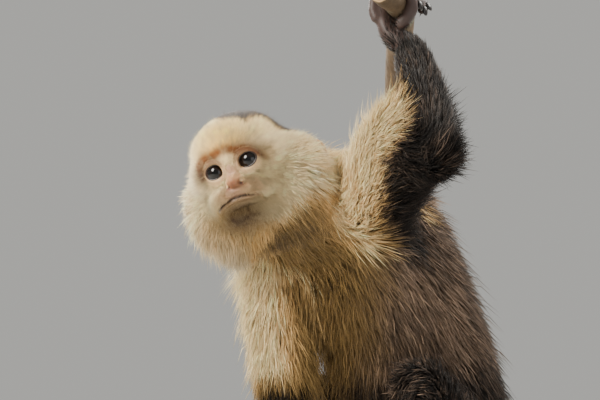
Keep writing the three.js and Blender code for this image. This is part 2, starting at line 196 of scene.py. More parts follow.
def tube(stations, across, rings=40, sides=24, dome=0.8, shape=None):
    # a profile carried along a curve: stations are x, y, z, half width, half depth; each end closes in a
    # dome, and `shape` gives a factor for every place t and angle round the ring
    t = np.linspace(0, 1, rings)
    path = curve(stations, t)
    forward = unit(np.gradient(path[:, :3], axis=0))
    side = unit(across - forward * dot(forward, across)[:, None])
    up = np.cross(forward, side)
    turn = np.linspace(0, math.pi / 2, domeRows + 2)[1:-1]
    reach = path[[0, -1], 3:5].min(1)[:, None]
    order = np.concatenate([np.zeros(domeRows, int), np.arange(rings), np.full(domeRows, rings - 1)])
    push = [-reach[0] * dome * np.sin(turn[::-1]), np.zeros(rings), reach[1] * dome * np.sin(turn)]
    share = np.concatenate([np.cos(turn[::-1]), np.ones(rings), np.cos(turn)])[:, None]
    angle = np.linspace(0, 2 * math.pi, sides, endpoint=False)[None, :]
    factor = share * (1 if shape is None else shape(t[order][:, None], angle))
    ring = (
        (path[order, :3] + forward[order] * np.concatenate(push)[:, None])[:, None, :]
        + side[order][:, None, :] * (path[order, 3:4] * factor * np.cos(angle))[..., None]
        + up[order][:, None, :] * (path[order, 4:5] * factor * np.sin(angle))[..., None]
    )
    poles = path[[0, -1], :3] + forward[[0, -1]] * reach * dome * vec(-1, 1)[:, None]
    points = np.vstack([poles[:1], ring.reshape(-1, 3), poles[1:]])
    return points, outward(points, gridFaces(len(order), sides))


def joined(parts):
    # several (points, triangles) pairs as one
    offsets = np.cumsum([0] + [len(p) for p, _ in parts[:-1]])
    return np.vstack([p for p, _ in parts]), np.vstack([t + o for (_, t), o in zip(parts, offsets)])


def finished(made, modifiers):
    # the object's mesh with modifiers applied: each is a type and its settings
    for kind, settings in modifiers:
        modifier = made.modifiers.new(kind.lower(), kind)
        for key, value in settings.items():
            setattr(modifier, key, value)
    bpy.context.view_layer.update()
    mesh = bpy.data.meshes.new_from_object(made.evaluated_get(bpy.context.evaluated_depsgraph_get()))
    made.modifiers.clear()
    old, made.data = made.data, mesh
    bpy.data.meshes.remove(old)
    return made


def remeshed(points, triangles, voxel):
    # one closed skin round overlapping closed forms, with faces of about the voxel's size
    made = finished(addMesh("form", points, triangles), [("REMESH", {"mode": "VOXEL", "voxel_size": voxel})])
    found = readMesh(made.data)
    bpy.data.objects.remove(made)
    return found


# materials

class Wire:
    # one output of a node; arithmetic on it adds Math nodes
    def __init__(self, graph, socket):
        self.graph = graph
        self.socket = socket

    def maths(self, operation, first, second):
        return self.graph.node("ShaderNodeMath", {"operation": operation}, {0: first, 1: second})

    def __add__(self, other):
        return self.maths("ADD", self, other)

    def __radd__(self, other):
        return self.maths("ADD", other, self)

    def __sub__(self, other):
        return self.maths("SUBTRACT", self, other)

    def __rsub__(self, other):
        return self.maths("SUBTRACT", other, self)

    def __mul__(self, other):
        return self.maths("MULTIPLY", self, other)

    def __rmul__(self, other):
        return self.maths("MULTIPLY", other, self)


class Finish:
    # a material and its graph, ended by a Principled shader
    def __init__(self, name):
        self.material = bpy.data.materials.new(name)
        self.material.use_nodes = True
        self.tree = self.material.node_tree
        self.tree.nodes.clear()
        self.coords = self.node("ShaderNodeTexCoord", output="Object")

    def node(self, kind, settings=None, sockets=None, output=0):
        # any node: its settings first, then the values or wires of its sockets
        made = self.tree.nodes.new(kind)
        for key, value in (settings or {}).items():
            if key == "stops":
                stops = made.color_ramp.elements
                while len(stops) < len(value):
                    stops.new(0.5)
                for stop, (place, colour) in zip(stops, value):
                    stop.position = place
                    stop.color = (*colour, 1)
            else:
                setattr(made, key, value)
        for key, value in (sockets or {}).items():
            if isinstance(value, Wire):
                self.tree.links.new(value.socket, made.inputs[key])
            else:
                made.inputs[key].default_value = value
        return Wire(self, made.outputs[output])

    def attribute(self, name, output="Color"):
        return self.node("ShaderNodeAttribute", {"attribute_name": name}, output=output)

    def noise(self, scale, detail=3, roughness=0.5, coords=None):
        values = {"Vector": coords or self.coords, "Scale": scale, "Detail": detail, "Roughness": roughness}
        return self.node("ShaderNodeTexNoise", {}, values)

    def mix(self, share, low, high, how="MIX"):
        # inputs 6 and 7 and output 2 of the node are its colours
        settings = {"data_type": "RGBA", "blend_type": how}
        return self.node("ShaderNodeMix", settings, {0: share, 6: low, 7: high}, 2)

    def ramp(self, value, *stops):
        return self.node("ShaderNodeValToRGB", {"stops": stops}, {"Fac": value})

    def mottled(self, share, colour, value, dark, low=0.3, high=0.7):
        # the colour multiplied by a stain: dark where the value is low, clear where it is high
        return self.mix(share, colour, self.ramp(value, (low, dark), (high, (1, 1, 1))), "MULTIPLY")

    def bump(self, height, strength, distance):
        return self.node("ShaderNodeBump", {}, {"Height": height, "Strength": strength, "Distance": distance})

    def done(self, sockets):
        shader = self.node("ShaderNodeBsdfPrincipled", {}, sockets)
        out = self.tree.nodes.new("ShaderNodeOutputMaterial")
        self.tree.links.new(shader.socket, out.inputs["Surface"])
        return self.material


def paint(made, name, colours):
    # a colour attribute with one colour for each point
    attribute = made.data.color_attributes.new(name, "FLOAT_COLOR", "POINT")
    rgba = np.ones((len(colours), 4), np.float32)
    rgba[:, :3] = np.clip(colours, 0, 1)
    attribute.data.foreach_set("color", rgba.ravel())


def addPiece(name, form, material, slot, *nodes):
    # a piece of the model: points in millimetres, triangles and, where it has them, its markings with painted
    # light and shade among them;
    # it gets its material, its body and the nodes that it stands for; the slot is not used
    points, triangles, *markingsAndPaintedLight = form
    made = addMesh(name, points * mm, triangles)
    for colours in markingsAndPaintedLight:
        paint(made, "marking", colours)
    made.data.materials.append(material)
    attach(made, "root")
    if nodes:
        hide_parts(*nodes)
    return made


# the pose: the same joints as the solids have, in millimetres
pose = {
    "pelvis": vec(0, 48, 309),
    "neckBase": vec(0, -54, 504),
    "shoulderLeft": vec(46, -72, 508), "elbowLeft": vec(127, -94, 537),
    "wristLeft": vec(85, -74, 611), "gripLeft": vec(70, -69, 637),
    "shoulderRight": vec(-45, -70, 471), "elbowRight": vec(-27, -85, 379), "wristRight": vec(-9, -102, 301),
    "hipLeft": vec(26, 48, 304), "kneeLeft": vec(64, -44, 380), "ankleLeft": vec(27, -15, 286),
    "hipRight": vec(-26, 48, 304), "kneeRight": vec(-62, -46, 371), "ankleRight": vec(-27, 13, 284),
}
tailPath = (
    vec(2, 78, 302), vec(12, 112, 291), vec(36, 140, 262), vec(54, 140, 215), vec(57, 112, 172),
    vec(52, 70, 142), vec(44, 22, 127), vec(40, -26, 131), vec(44, -60, 152), vec(50, -62, 181),
    vec(50, -40, 192), vec(47, -24, 178),
)
sides = (("left", "Left", 1), ("right", "Right", -1))

# the camera: level, three metres off, 45 degrees round to the animal's left
view = {"aim": vec(-0.0212, -0.0752, 0.507), "away": 3.0, "turn": 45, "lens": 257.1, "sensor": 36}
viewTurn = math.radians(view["turn"])
eyeLine = vec(math.sin(viewTurn), -math.cos(viewTurn), 0)
camera = bpy.data.objects.new("camera", bpy.data.cameras.new("camera"))
camera.data.lens = view["lens"]
camera.data.sensor_width = view["sensor"]
camera.location = view["aim"] + eyeLine * view["away"]
camera.rotation_euler = (math.pi / 2, 0, viewTurn)
bpy.context.scene.collection.objects.link(camera)
bpy.context.scene.camera = camera

# the head's own frame, in millimetres: x to its left, -y out of the face, eyes at z = 0
headFrame = {
    "yaw": 27, "tilt": 23.5, "eyeForward": 27.4, "eyeRadius": 9.0,
    "eyes": {1: (12.9, -1.8), -1: (-12.3, -0.6)},  # where the left and the right eye sit, across and up
}


def sineOf(degrees):
    # of an angle in degrees
    return math.sin(math.radians(degrees))


def cosineOf(degrees):
    # of an angle in degrees
    return math.cos(math.radians(degrees))


def turned(angle, axis):
    # the matrix of a turn about one axis: sine and cosine in the plane of the other two
    i, j = [k for k in range(3) if k != axis]
    made = np.eye(3)
    made[i, i] = made[j, j] = cosineOf(angle)
    made[j, i] = sineOf(angle) * (-1 if axis == 1 else 1)
    made[i, j] = -made[j, i]
    return made


headTurn = turned(headFrame["yaw"], 2) @ turned(-headFrame["tilt"], 1)
eyeMiddles = np.array([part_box("eye_" + side) for side, _, _ in sides]).mean(1)
headAt = eyeMiddles.mean(0) / mm - headTurn @ vec(0, -headFrame["eyeForward"], 0)


def toHead(p):
    # from the row frame to the head's own frame
    return (p - headAt) @ headTurn


def fromHead(p):
    # and back
    return p @ headTurn.T + headAt


print("frame ready, head at", headAt.round(1), "eyes", toHead(eyeMiddles / mm).round(2).tolist())

# the head's skin: a soft union of ellipsoids seen from its middle, with the face worked into it

headShape = {
    "rings": 120,
    "sectors": 252,
    "poleTip": 14,  # degrees that the grid's pole points below the face's own axis
    "sharp": 16, "noseSharp": 40, "noseJoin": 60,  # the higher, the less the masses melt together
    # each mass is an ellipsoid: its middle and its three half axes
    "skin": [
        (-1, 3, -1, 35.5, 41, 27.5),  # cranium
        (0.3, -8.5, 14.5, 28.3, 26.3, 20),  # forehead
        (0, -16.6, 6, 25.5, 20.5, 10.5),  # brow
        (0, -13, -9, 27.5, 23.2, 12.5),  # cheekbones
        (-5, -22.5, -21, 22, 21.2, 12.2),  # muzzle
        (-4.5, -15.5, -31, 19.5, 20.5, 11.7),  # jaw
        (16, -8, -20, 15, 15, 15),  # beside the muzzle
        (-19, -9, -20, 14, 15.5, 15),
        (0, 8, -26, 24, 28, 21),  # throat
        (21, 5, -18, 29, 24.5, 31),  # cheeks
        (-21, 5, -18, 29, 24.5, 31),
    ],
    "nose": [
        (0, -35.4, -4, 5.2, 4.4, 11),  # bridge
        (0, -41.8, -12.6, 4.0, 4.6, 4.0),  # tip
        (3.6, -40, -13.6, 3.5, 4.2, 3.4),  # wings
        (-3.6, -40, -13.6, 3.5, 4.2, 3.4),
    ],
    "coat": [
        (-1, 3, -1, 40, 44.5, 31),
        (0.5, -9, 15, 31, 28, 22),
        (0, -16, 6, 27, 21, 12),
        (0, -12, -9, 30, 24, 13),
        (-3.5, -23.5, -21, 22.5, 23, 13),
        (-3.5, -16, -31, 21, 23, 13),
        (0, 8, -30, 32, 34, 26),
        (22.5, 6, -23, 35.5, 27, 36),
        (-22.5, 6, -23, 35.5, 27, 36),
    ],
}
lids = {
    "halfWidth": 6.7, "up": 5.3, "down": 4.9, "corner": 2.2,  # the opening, in millimetres on the eyeball
    "slant": 5, "skinRadius": 9.5, "openRadius": 8.1, "sharp": 20,
    "rimRadius": 9.15, "rimWide": 0.85, "rimDeep": 0.62,
}
mouth = {"shift": -4.0, "middle": -23.4, "corner": 17.4, "fall": 2.6, "depth": 2.0, "line": 0.85}
ear = {
    "at": (47.2, 14.5, -12), "long": 8.5, "high": 11, "thick": 1.3, "forward": 24,
    "cup": 3.2, "rim": 1.4, "root": 13, "press": 3.5,  # press: how deep the skull is hollowed under the ear
}


def reachOf(rays, masses, sharpness=headShape["sharp"]):
    # how far each ray from the head's middle goes before it leaves a soft union of ellipsoids
    total = np.zeros(len(rays))
    for mass in np.array(masses, float):
        middle, half = mass[:3], mass[3:]
        d, c = rays / half, middle / half
        a, b = dot(d, d), d @ c
        root = b * b - a * (c @ c - 1)
        reach = np.where(root > 0, (b + np.sqrt(np.maximum(root, 0))) / a, 0)
        total += np.maximum(reach, 0) ** sharpness
    return total ** (1 / sharpness)


def sphereReach(rays, centre, radius):
    # the same for one ball, 0 where a ray misses it
    b = rays @ centre
    root = b * b - (centre @ centre - radius**2)
    return np.where(root > 0, b + np.sqrt(np.maximum(root, 0)), 0)


def stroke(x, z, start, end, width):
    # a brush stroke in the face's plane: the bell of the distance from a straight line between two places
    sx, sz = end[0] - start[0], end[1] - start[1]
    t = np.clip(((x - start[0]) * sx + (z - start[1]) * sz) / (sx * sx + sz * sz), 0, 1)
    return bell(np.hypot(x - start[0] - t * sx, z - start[1] - t * sz), width)


def mouthPlace(x, z):
    # how far a place is across from the mouth's middle, above its line, and whether it is within the corners
    across = np.abs(x - mouth["shift"])
    line = mouth["middle"] - mouth["fall"] * (across / mouth["corner"]) ** 1.6
    return across, z - line, rise(across, mouth["corner"] + 1.2, mouth["corner"] - 2)


def eyeGap(x, z):
    # distance in the face's plane from the nearer eye's middle, and whether the place is above it
    (gap, up), (otherGap, otherUp) = ((np.hypot(x - a, z - b), z - b) for a, b in headFrame["eyes"].values())
    first = gap < otherGap
    return np.where(first, gap, otherGap), rise(np.where(first, up, otherUp), -1, 3)


def faceRelief(p):
    # millimetres that each place on the face stands out or sinks in
    x, y, z = p.T
    across = np.abs(x)
    eye, above = eyeGap(x, z)
    aside, lip, inMouth = mouthPlace(x, z)
    height = -0.8 * bell(eye, 9.5)  # sockets
    browLine = 7.8 - 0.13 * x - 0.012 * (across - 12) ** 2
    height += 1.4 * bell(z - browLine, 3.2) * bell(across - 11.5, 9.5)
    height -= 0.8 * stroke(x, z, (-2.2, 12), (-0.4, 1), 0.9)  # crease between the brows
    height -= 0.3 * bell(eye - 8.3, 0.9) * above  # fold of the upper lid
    height -= 0.7 * stroke(across, z, (6.5, -12), (12.5, -20.5), 1.1)  # beside the nose
    height += 0.7 * stroke(across, z, (9, -16), (12, -22), 2.8)  # pads of the whiskers
    height -= 0.3 * stroke(across, z, (10.5, -9.5), (19, -19), 1.4)  # outer edge of the pads
    height -= 2.3 * stroke(across, z, (4.5, -15.4), (7.0, -12.4), 1.15)  # nostrils
    height -= 0.4 * bell(x, 1.0) * bell(z + 15.5, 3)  # between the nostrils and down the lip
    height -= mouth["depth"] * bell(lip, mouth["line"]) * inMouth
    height += 0.25 * bell(lip - 2.4, 1.6) * inMouth  # upper lip
    height += 0.6 * bell(lip + 2.1, 1.5) * rise(aside, 13, 8)  # lower lip
    height -= 0.5 * bell(lip + 5.2, 1.9) * bell(x - mouth["shift"], 9)
    height += 0.9 * bell(np.hypot((x + 3) / 1.4, z + 37), 6)  # chin
    return height * rise(-y, 4, 15)


def inOpening(across, up):
    # below 1 inside the almond between the lids, above 1 outside it
    height = np.where(up > 0, lids["up"], lids["down"])
    return np.abs(across / lids["halfWidth"]) ** lids["corner"] + np.abs(up / height) ** 2


def eyeCentre(side):
    # the middle of the left (1) or right (-1) eyeball in the head's frame
    across, up = headFrame["eyes"][side]
    return vec(across, -headFrame["eyeForward"], up)


def onEye(q, side):
    # places across and up on an eyeball, with the outer corner a little higher
    s, c = sineOf(lids["slant"]), cosineOf(lids["slant"])
    return q[..., 0] * side * c + q[..., 2] * s, -q[..., 0] * side * s + q[..., 2] * c


def skinReach(rays):
    # the reach of the head's skin: skull, nose, relief of the face, then lids that follow the eyeballs
    reach = reachOf(rays, headShape["skin"])
    nose, join = reachOf(rays, headShape["nose"], headShape["noseSharp"]), headShape["noseJoin"]
    reach = (reach**join + nose**join) ** (1 / join)
    x, y, z = (rays * reach[:, None]).T
    fromEar = np.hypot(y - ear["at"][1], z - ear["at"][2])
    underEar = ear["press"] * bell(fromEar, 9) * rise(np.abs(x), 20, 28)
    reach = reach + faceRelief(rays * reach[:, None]) - underEar
    sharp = lids["sharp"]
    for side in (1, -1):
        centre = eyeCentre(side)
        lid = sphereReach(rays, centre, lids["skinRadius"])
        near = lid > 20
        across, up = onEye(rays * lid[:, None] - centre, side)
        reach = np.where(near, (reach**sharp + lid**sharp) ** (1 / sharp), reach)
        hollow = np.where(near, 1 - rise(inOpening(across, up), 0.8, 1.12), 0)
        reach = blend(hollow, reach, np.minimum(reach, sphereReach(rays, centre, lids["openRadius"])))
    return reach


def faceDistance(q):
    # how far from the middle of the face, measured a little shorter from front to back
    return lengthOf((q - vec(0, -36, -8)) * vec(1, 0.8, 1))


def rayGrid(pole, side, up, polar, sectors):
    # directions in rings at the polar angles from a pole, with both poles
    around = np.linspace(0, 2 * math.pi, sectors, endpoint=False)
    ring = np.cos(around)[:, None] * side + np.sin(around)[:, None] * up
    rays = np.cos(polar)[:, None, None] * pole + np.sin(polar)[:, None, None] * ring
    return np.vstack([pole[None], rays.reshape(-1, 3), -pole[None]])


def makeHead():
    # rings about a pole in the face, close together there and wider behind, pushed out to the skin's reach;
    # everything but the face is smoothed
    t = np.linspace(0, 1, headShape["rings"] + 2)[1:-1]
    polar = math.pi * (0.62 * t + 0.38 * t**3.5)
    s, c = sineOf(headShape["poleTip"]), cosineOf(headShape["poleTip"])
    rays = rayGrid(vec(0, -c, -s), vec(1, 0, 0), vec(0, -s, c), polar, headShape["sectors"])
    points = rays * skinReach(rays)[:, None]
    triangles = outward(points, gridFaces(headShape["rings"], headShape["sectors"]))
    x, y, z = points.T
    aroundEye = 0.6 * bell(eyeGap(x, z)[0] - 11.2, 1.9) * (y < -15)
    besideNose = 0.7 * stroke(np.abs(x), z, (11, -10), (20, -14), 4) * (y < -15)
    smooth = np.maximum.reduce([rise(faceDistance(points), 21, 36), aroundEye, besideNose])
    return fromHead(relax(points, triangles, 60, 0.5, smooth[:, None])), triangles


# the skin of the body: the solids' own shape, drawn in by the depth of the coat

limbs = {
    # path, radius at each place of it, depth of the coat, length of its tufts
    "trunk": (("neckBase", vec(0, 5, 421), "pelvis"), (46, 56, 48), (11, 11, 10), (24, 27, 25)),
    "neck": (
        (vec(-14, -106, 505), vec(-4, -72, 503), vec(0, -40, 494)),
        (41, 44, 46), (10, 10, 10), (22, 23, 24),
    ),
    "upperArmLeft": (
        ("shoulderLeft", vec(82, -80, 541), "elbowLeft"),
        (34, 32, 20), (8.5, 9, 6.5), (25, 28, 19),
    ),
    "forearmLeft": (("elbowLeft", "wristLeft"), (19, 12), (6.5, 1.6), (18, 9)),
    "handLeft": (("wristLeft", "gripLeft"), (12, 13), (1, 0.8), (7, 4)),
    "upperArmRight": (
        ("shoulderRight", vec(-37, -79, 420), "elbowRight"),
        (33, 27, 21), (11, 9.5, 7), (26, 26, 20),
    ),
    "forearmRight": (("elbowRight", "wristRight"), (19, 12), (6.5, 1.6), (18, 9)),
    "handRight": (("wristRight", vec(-9, -106, 284)), (12, 13), (1, 0.8), (7, 4)),
    "thighLeft": (("hipLeft", "kneeLeft"), (36, 21), (10, 6), (22, 18)),
    "thighRight": (("hipRight", "kneeRight"), (36, 21), (10, 6), (22, 18)),
    "shinLeft": (("kneeLeft", "ankleLeft"), (19, 12), (6, 1.6), (16, 8)),
    "shinRight": (("kneeRight", "ankleRight"), (19, 12), (6, 1.6), (16, 8)),
    "footLeft": (("ankleLeft", vec(24, -60, 278)), (12, 12), (1, 0.8), (7, 4)),
    "footRight": (("ankleRight", vec(-24, -32, 276)), (12, 12), (1, 0.8), (7, 4)),
    "tail": (tailPath, np.linspace(18, 8, 12), np.linspace(6, 3, 12), (17,) * 9 + (14, 12, 10)),
}
limbNames = list(limbs)
handLimbs = ("handLeft", "handRight", "footLeft", "footRight")
body = {"voxel": 3, "grown": 0.45, "steps": 6, "smoothing": 3, "neckRings": 30, "neckSides": 40}


def placeOf(where):
    # a joint's place by its name, or the place itself
    return pose[where] if isinstance(where, str) else where


def amongLimbs(numbers, *names):
    # whether each limb number belongs to one of the names
    return np.isin(numbers, [limbNames.index(name) for name in names])


# every straight length of a limb: at both ends its number, place, radius, depth and length
spans = []
for number, (path, *values) in enumerate(limbs.values()):
    knots = [(number, *placeOf(where), *rest) for where, *rest in zip(path, *values)]
    spans += zip(knots[:-1], knots[1:])
spans = np.array(spans)
spanLimb = spans[:, 0, 0].astype(int)
spanStart, spanEnd = spans[:, 0, 1:4], spans[:, 1, 1:4]
spanLow, spanHigh = spans[:, 0, 4:], spans[:, 1, 4:]


def bodyFields(p):
    # for points in millimetres: the nearest limb, the coat's depth and length, the lie of the hair along the
    # limbs, the direction out from their axes, and the place along the limb; limbs that meet share smoothly
    way = spanEnd - spanStart
    t = np.clip(np.einsum("nsk,sk->ns", p[:, None] - spanStart, way) / dot(way, way), 0, 1)
    gap = p[:, None] - (spanStart + t[..., None] * way)
    values = spanLow + t[..., None] * (spanHigh - spanLow)
    ratio = lengthOf(gap) / values[..., 0]
    share = np.exp(-9 * (ratio - ratio.min(1, keepdims=True)))
    share /= share.sum(1, keepdims=True)
    nearest = ratio.argmin(1)
    rows = np.arange(len(p))
    mixed = np.einsum("ns,nsk->nk", share, values)
    return {
        "limb": spanLimb[nearest], "along": t[rows, nearest], "ratio": ratio[rows, nearest],
        "lie": unit(np.einsum("ns,sk->nk", share, unit(way))),
        "out": unit(np.einsum("ns,nsk->nk", share, unit(gap))),
        "depth": mixed[:, 1], "length": mixed[:, 2],
    }


limbNodes = [
    part + side for part in ("upper_arm_", "forearm_", "hand_", "thigh_", "shin_", "foot_")
    for side in ("left", "right")
]
fleshNodes = ["head", "neck", "trunk", "nose", "tail_base", "tail_middle", "tail_tip", *limbNodes]


def makeBody():
    # the flesh nodes grown until they touch, made one closed form, then drawn in step by step along its
    # normals; the neck is a tube that goes on into the head, so that drawing it in leaves no collar
    parts = []
    for name in fleshNodes:
        if name in ("head", "neck", "nose") or name.startswith(("hand_", "foot_")):
            continue
        points, triangles = readMesh(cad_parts[name].data)
        _, first, back = np.unique(points.round(6), axis=0, return_index=True, return_inverse=True)
        triangles = back.reshape(-1)[triangles]
        points = points[first] / mm
        parts.append((points + normalsOf(points, triangles) * body["grown"], triangles))
    neck = [(0, -38, 490, 46, 44), (-4, -72, 503, 44, 42), (-12, -100, 508, 41, 40), (-17, -126, 524, 38, 38)]
    parts.append(tube(neck, vec(1, 0, 0), body["neckRings"], body["neckSides"]))
    points, triangles = remeshed(*joined(parts), body["voxel"])
    step = (bodyFields(points)["depth"] / body["steps"])[:, None]
    points = relax(points, triangles, body["smoothing"])
    for _ in range(body["steps"]):
        points = points - normalsOf(points, triangles) * step
        points = relax(points, triangles, body["smoothing"])
    return points, triangles


# hands and feet: each finger or toe is an arc about the rod that it holds, with knuckles and a nail

bough = {
    "back": 142, "front": -165, "seatY": 48, "seatZ": 245, "rise": 0.105,
    "thickBack": 25, "thickFront": 21,
}
shoot = {
    "path": [
        (-12, 100, 239.5), (-40, 108, 300), (-54, 96, 380), (-50, 68, 470), (-24, 28, 558), (20, -18, 610),
        (70, -69, 637), (92, -112, 648),
    ],
    "low": 12, "high": 8,
}
digit = {"thick": 4.4, "spacing": 8.2, "rings": 26, "sides": 14, "voxel": 1.25}
nail = {"long": 6.8, "wide": 3.1, "high": 1.1, "rows": 11, "columns": 14, "bend": 0.035, "arch": 0.11}
nailForms = {"hand_left": [], "hand_right": [], "foot_left": [], "foot_right": []}


def boughCentre(y):
    # the bough's axis rises evenly towards the front
    return vec(0, y, bough["seatZ"] + (bough["seatY"] - y) * bough["rise"])


def boughThick(y):
    # its radius goes evenly from the back end to the front end
    share = (y - bough["back"]) / (bough["front"] - bough["back"])
    return blend(share, bough["thickBack"], bough["thickFront"])


boughAxis = unit(vec(0, -1, bough["rise"]))


def boughHold(y, first):
    # what a digit needs to wrap round the bough: centre, axis, the direction where it starts and the radius
    return boughCentre(y), boughAxis, first, boughThick(y)


def makeNail(tip, along, out):
    # a curved plate: half an egg drawn out along the finger and bent down at its free end
    u = np.linspace(0, math.pi, nail["rows"])[1:-1]
    w = np.linspace(0, 2 * math.pi, nail["columns"], endpoint=False)
    half = nail["long"] / 2
    long = -np.cos(u)[:, None] * nail["long"] / 2
    swell = np.sin(u)[:, None] ** 0.6
    wide = swell * nail["wide"] * np.cos(w)
    high = swell * nail["high"] * np.sin(w) - nail["arch"] * wide**2 - nail["bend"] * (long + 2) ** 2
    side = unit(np.cross(along, out))
    flat = np.ones_like(wide)[..., None]
    rows = tip + along * long[..., None] * flat + side * wide[..., None] + out * high[..., None]
    ends = [tip + along * s * half - out * nail["bend"] * (s * half + 2) ** 2 for s in (-1, 1)]
    points = np.vstack([ends[0][None], rows.reshape(-1, 3), ends[1][None]])
    return points, outward(points, gridFaces(len(u), len(w)))


def wrapped(owner, hold, start, sweep, shift, spread, thick):
    # a digit that wraps round a rod: its centre line is an arc, its radius swells at two knuckles
    centre, axis, first, radius = hold
    following = unit(np.cross(axis, first))
    s = np.linspace(0, 1, 9)
    angle = start + sweep * s
    reach = radius + 1.2 + thick * (1 - 0.12 * s)
    direction = np.cos(angle)[:, None] * first + np.sin(angle)[:, None] * following
    path = centre + axis * (shift + spread * s)[:, None] + direction * reach[:, None]
    wide = thick * (1 - 0.2 * s) * (1 + 0.13 * bell(s - 0.42, 0.1) + 0.08 * bell(s - 0.76, 0.08))
    along = unit(path[-1] - path[-2])
    tip = path[-1] + direction[-1] * wide[-1] * 0.8 + along * 0.6
    nailForms[owner].append(makeNail(tip, along, direction[-1]))
    return tube(np.column_stack([path, wide, wide * 0.93]), axis, digit["rings"], digit["sides"], dome=0.9)


def fourDigits(owner, hold, start, sweep, lengths, thick=digit["thick"]):
    # four digits side by side, each with its own share of the sweep
    made = []
    for i, length in enumerate(lengths):
        shift = (i - 1.5) * digit["spacing"]
        made.append(wrapped(owner, hold, start, sweep * length, shift, (i - 1.5) * 0.8, thick))
    return made


def makeHandLeft():
    # a palm from the forearm to the shoot, with the fingers round the shoot
    wrist, grip = pose["wristLeft"], pose["gripLeft"]
    axis = unit(vec(0.36, -0.9, 0.24))
    back = wrist - grip
    start = unit(back - axis * (back @ axis))
    hold = (grip, axis, start, shoot["high"] + 1.2)
    palmSide = start * 0.8 - np.cross(axis, start) * 0.6
    arm = unit(wrist - pose["elbowLeft"])
    stations = [
        (*(wrist - arm * 16), 10.2, 9.6),
        (*(wrist + start * 2), 10.4, 8.4),
        (*(grip + palmSide * 17.5), 15.5, 8),
        (*(grip + palmSide * 15 - start * 16), 14.5, 6.5),
    ]
    forms = [tube(stations, axis, 30, 30, dome=0.7)]
    forms += fourDigits("hand_left", hold, -1.35, -3.7, (0.9, 1, 0.98, 0.82))
    forms.append(wrapped("hand_left", hold, 0.1, 1.9, 14, 5, digit["thick"] + 0.5))
    return forms


def makeHandRight():
    # a palm laid on the bough, with the fingers over its side
    wrist, handY = pose["wristRight"], -108
    up = vec(0, 0, 1)
    hold = boughHold(handY, up)
    top = boughCentre(handY) + up * (boughThick(handY) + 6)
    arm = unit(wrist - pose["elbowRight"])
    stations = [
        (*(wrist - arm * 16), 10.2, 9.6),
        (*(wrist + vec(0, 0, -2)), 10.6, 8.6),
        (*(top + vec(-4, 1, 3)), 15.5, 8.6),
        (*(top + vec(13, 0, -5)), 15, 6.8),
    ]
    forms = [tube(stations, boughAxis, 30, 30, dome=0.7)]
    forms += fourDigits("hand_right", hold, -0.45, -1.7, (0.9, 1, 0.96, 0.8))
    forms.append(wrapped("hand_right", hold, 0.2, 1.1, -14, -3, digit["thick"] + 0.5))
    return forms


def makeFoot(side, label, sign):
    # heel, sole and ankle on the bough's flank, the toes round its top and the great toe the other way
    ankle = pose["ankle" + label]
    owner = "foot_" + side
    start = unit(vec(sign * 0.77, 0, 0.64))

    def onBough(y, reach):
        return boughCentre(y) + start * (boughThick(y) + reach)

    ball = ankle[1] - 44
    shin = unit(ankle - pose["knee" + label])
    stations = [
        (*onBough(ankle[1] + 12, 9.5), 9.5, 9.5),
        (*onBough(ankle[1] - 14, 9.5), 11, 9),
        (*onBough(ball, 6.5), 14.5, 7),
    ]
    joint = [(*(ankle - shin * 16), 10, 10), (*ankle, 10, 9.5), (*(ankle + shin * 8), 9, 8.5)]
    forms = [tube(stations, np.cross(boughAxis, start), 30, 26, dome=0.85)]
    forms.append(tube(joint, vec(1, 0, 0), 16, 22))
    hold, inner = boughHold(ball - 4, start), boughHold(ankle[1] - 24, start)
    forms += fourDigits(owner, hold, -sign * 0.1, -sign * 1.55, (0.86, 1, 0.96, 0.84), digit["thick"] + 0.2)
    forms.append(wrapped(owner, inner, sign * 0.15, sign * 1.1, 0, 6, digit["thick"] + 1.1))
    return forms


def makeExtremity(forms):
    # the forms of one hand or foot as one skin, smoothed where they meet
    points, triangles = remeshed(*joined(forms), digit["voxel"])
    return relax(points, triangles, 4, 0.45), triangles


def united(parts):
    # one closed skin from overlapping closed forms, or the forms together if the union fails
    made = [addMesh("part", p * mm, t) for p, t in parts]
    union = {"operation": "UNION", "solver": "MANIFOLD"}
    finished(made[0], [("BOOLEAN", {**union, "object": other}) for other in made[1:]])
    points, triangles = readMesh(made[0].data)
    for other in made:
        bpy.data.objects.remove(other)
    if len(triangles) < 0.6 * sum(len(t) for _, t in parts):
        print("union failed, forms kept together")
        return joined(parts)
    return points / mm, triangles


# eyes, the rims of the lids, and ears

eye = {
    "rings": 54, "sectors": 72, "cornea": 0.75, "corneaEdge": 36, "toCamera": 0.35,
    "pupil": 15, "iris": 37, "white": 50,  # degrees from the eye's own axis
}
shades = {
    "pupil": tone(4, 3, 3), "iris": tone(24, 12, 7), "irisEdge": tone(9, 6, 5), "white": tone(88, 64, 52),
    "skin": tone(232, 196, 146), "lidUpper": tone(112, 80, 50), "lidLower": tone(180, 144, 106),
    "lidRim": tone(46, 28, 20), "bridge": tone(204, 160, 128), "noseTip": tone(146, 80, 44),
    "nostril": tone(46, 10, 7), "nostrilRim": tone(166, 78, 46), "lip": tone(146, 106, 82),
    "mouthLine": tone(26, 15, 11), "chin": tone(96, 66, 38), "browSkin": tone(110, 64, 28),
    "handSkin": tone(66, 50, 45), "nail": tone(34, 27, 25), "earSkin": tone(170, 132, 108),
}


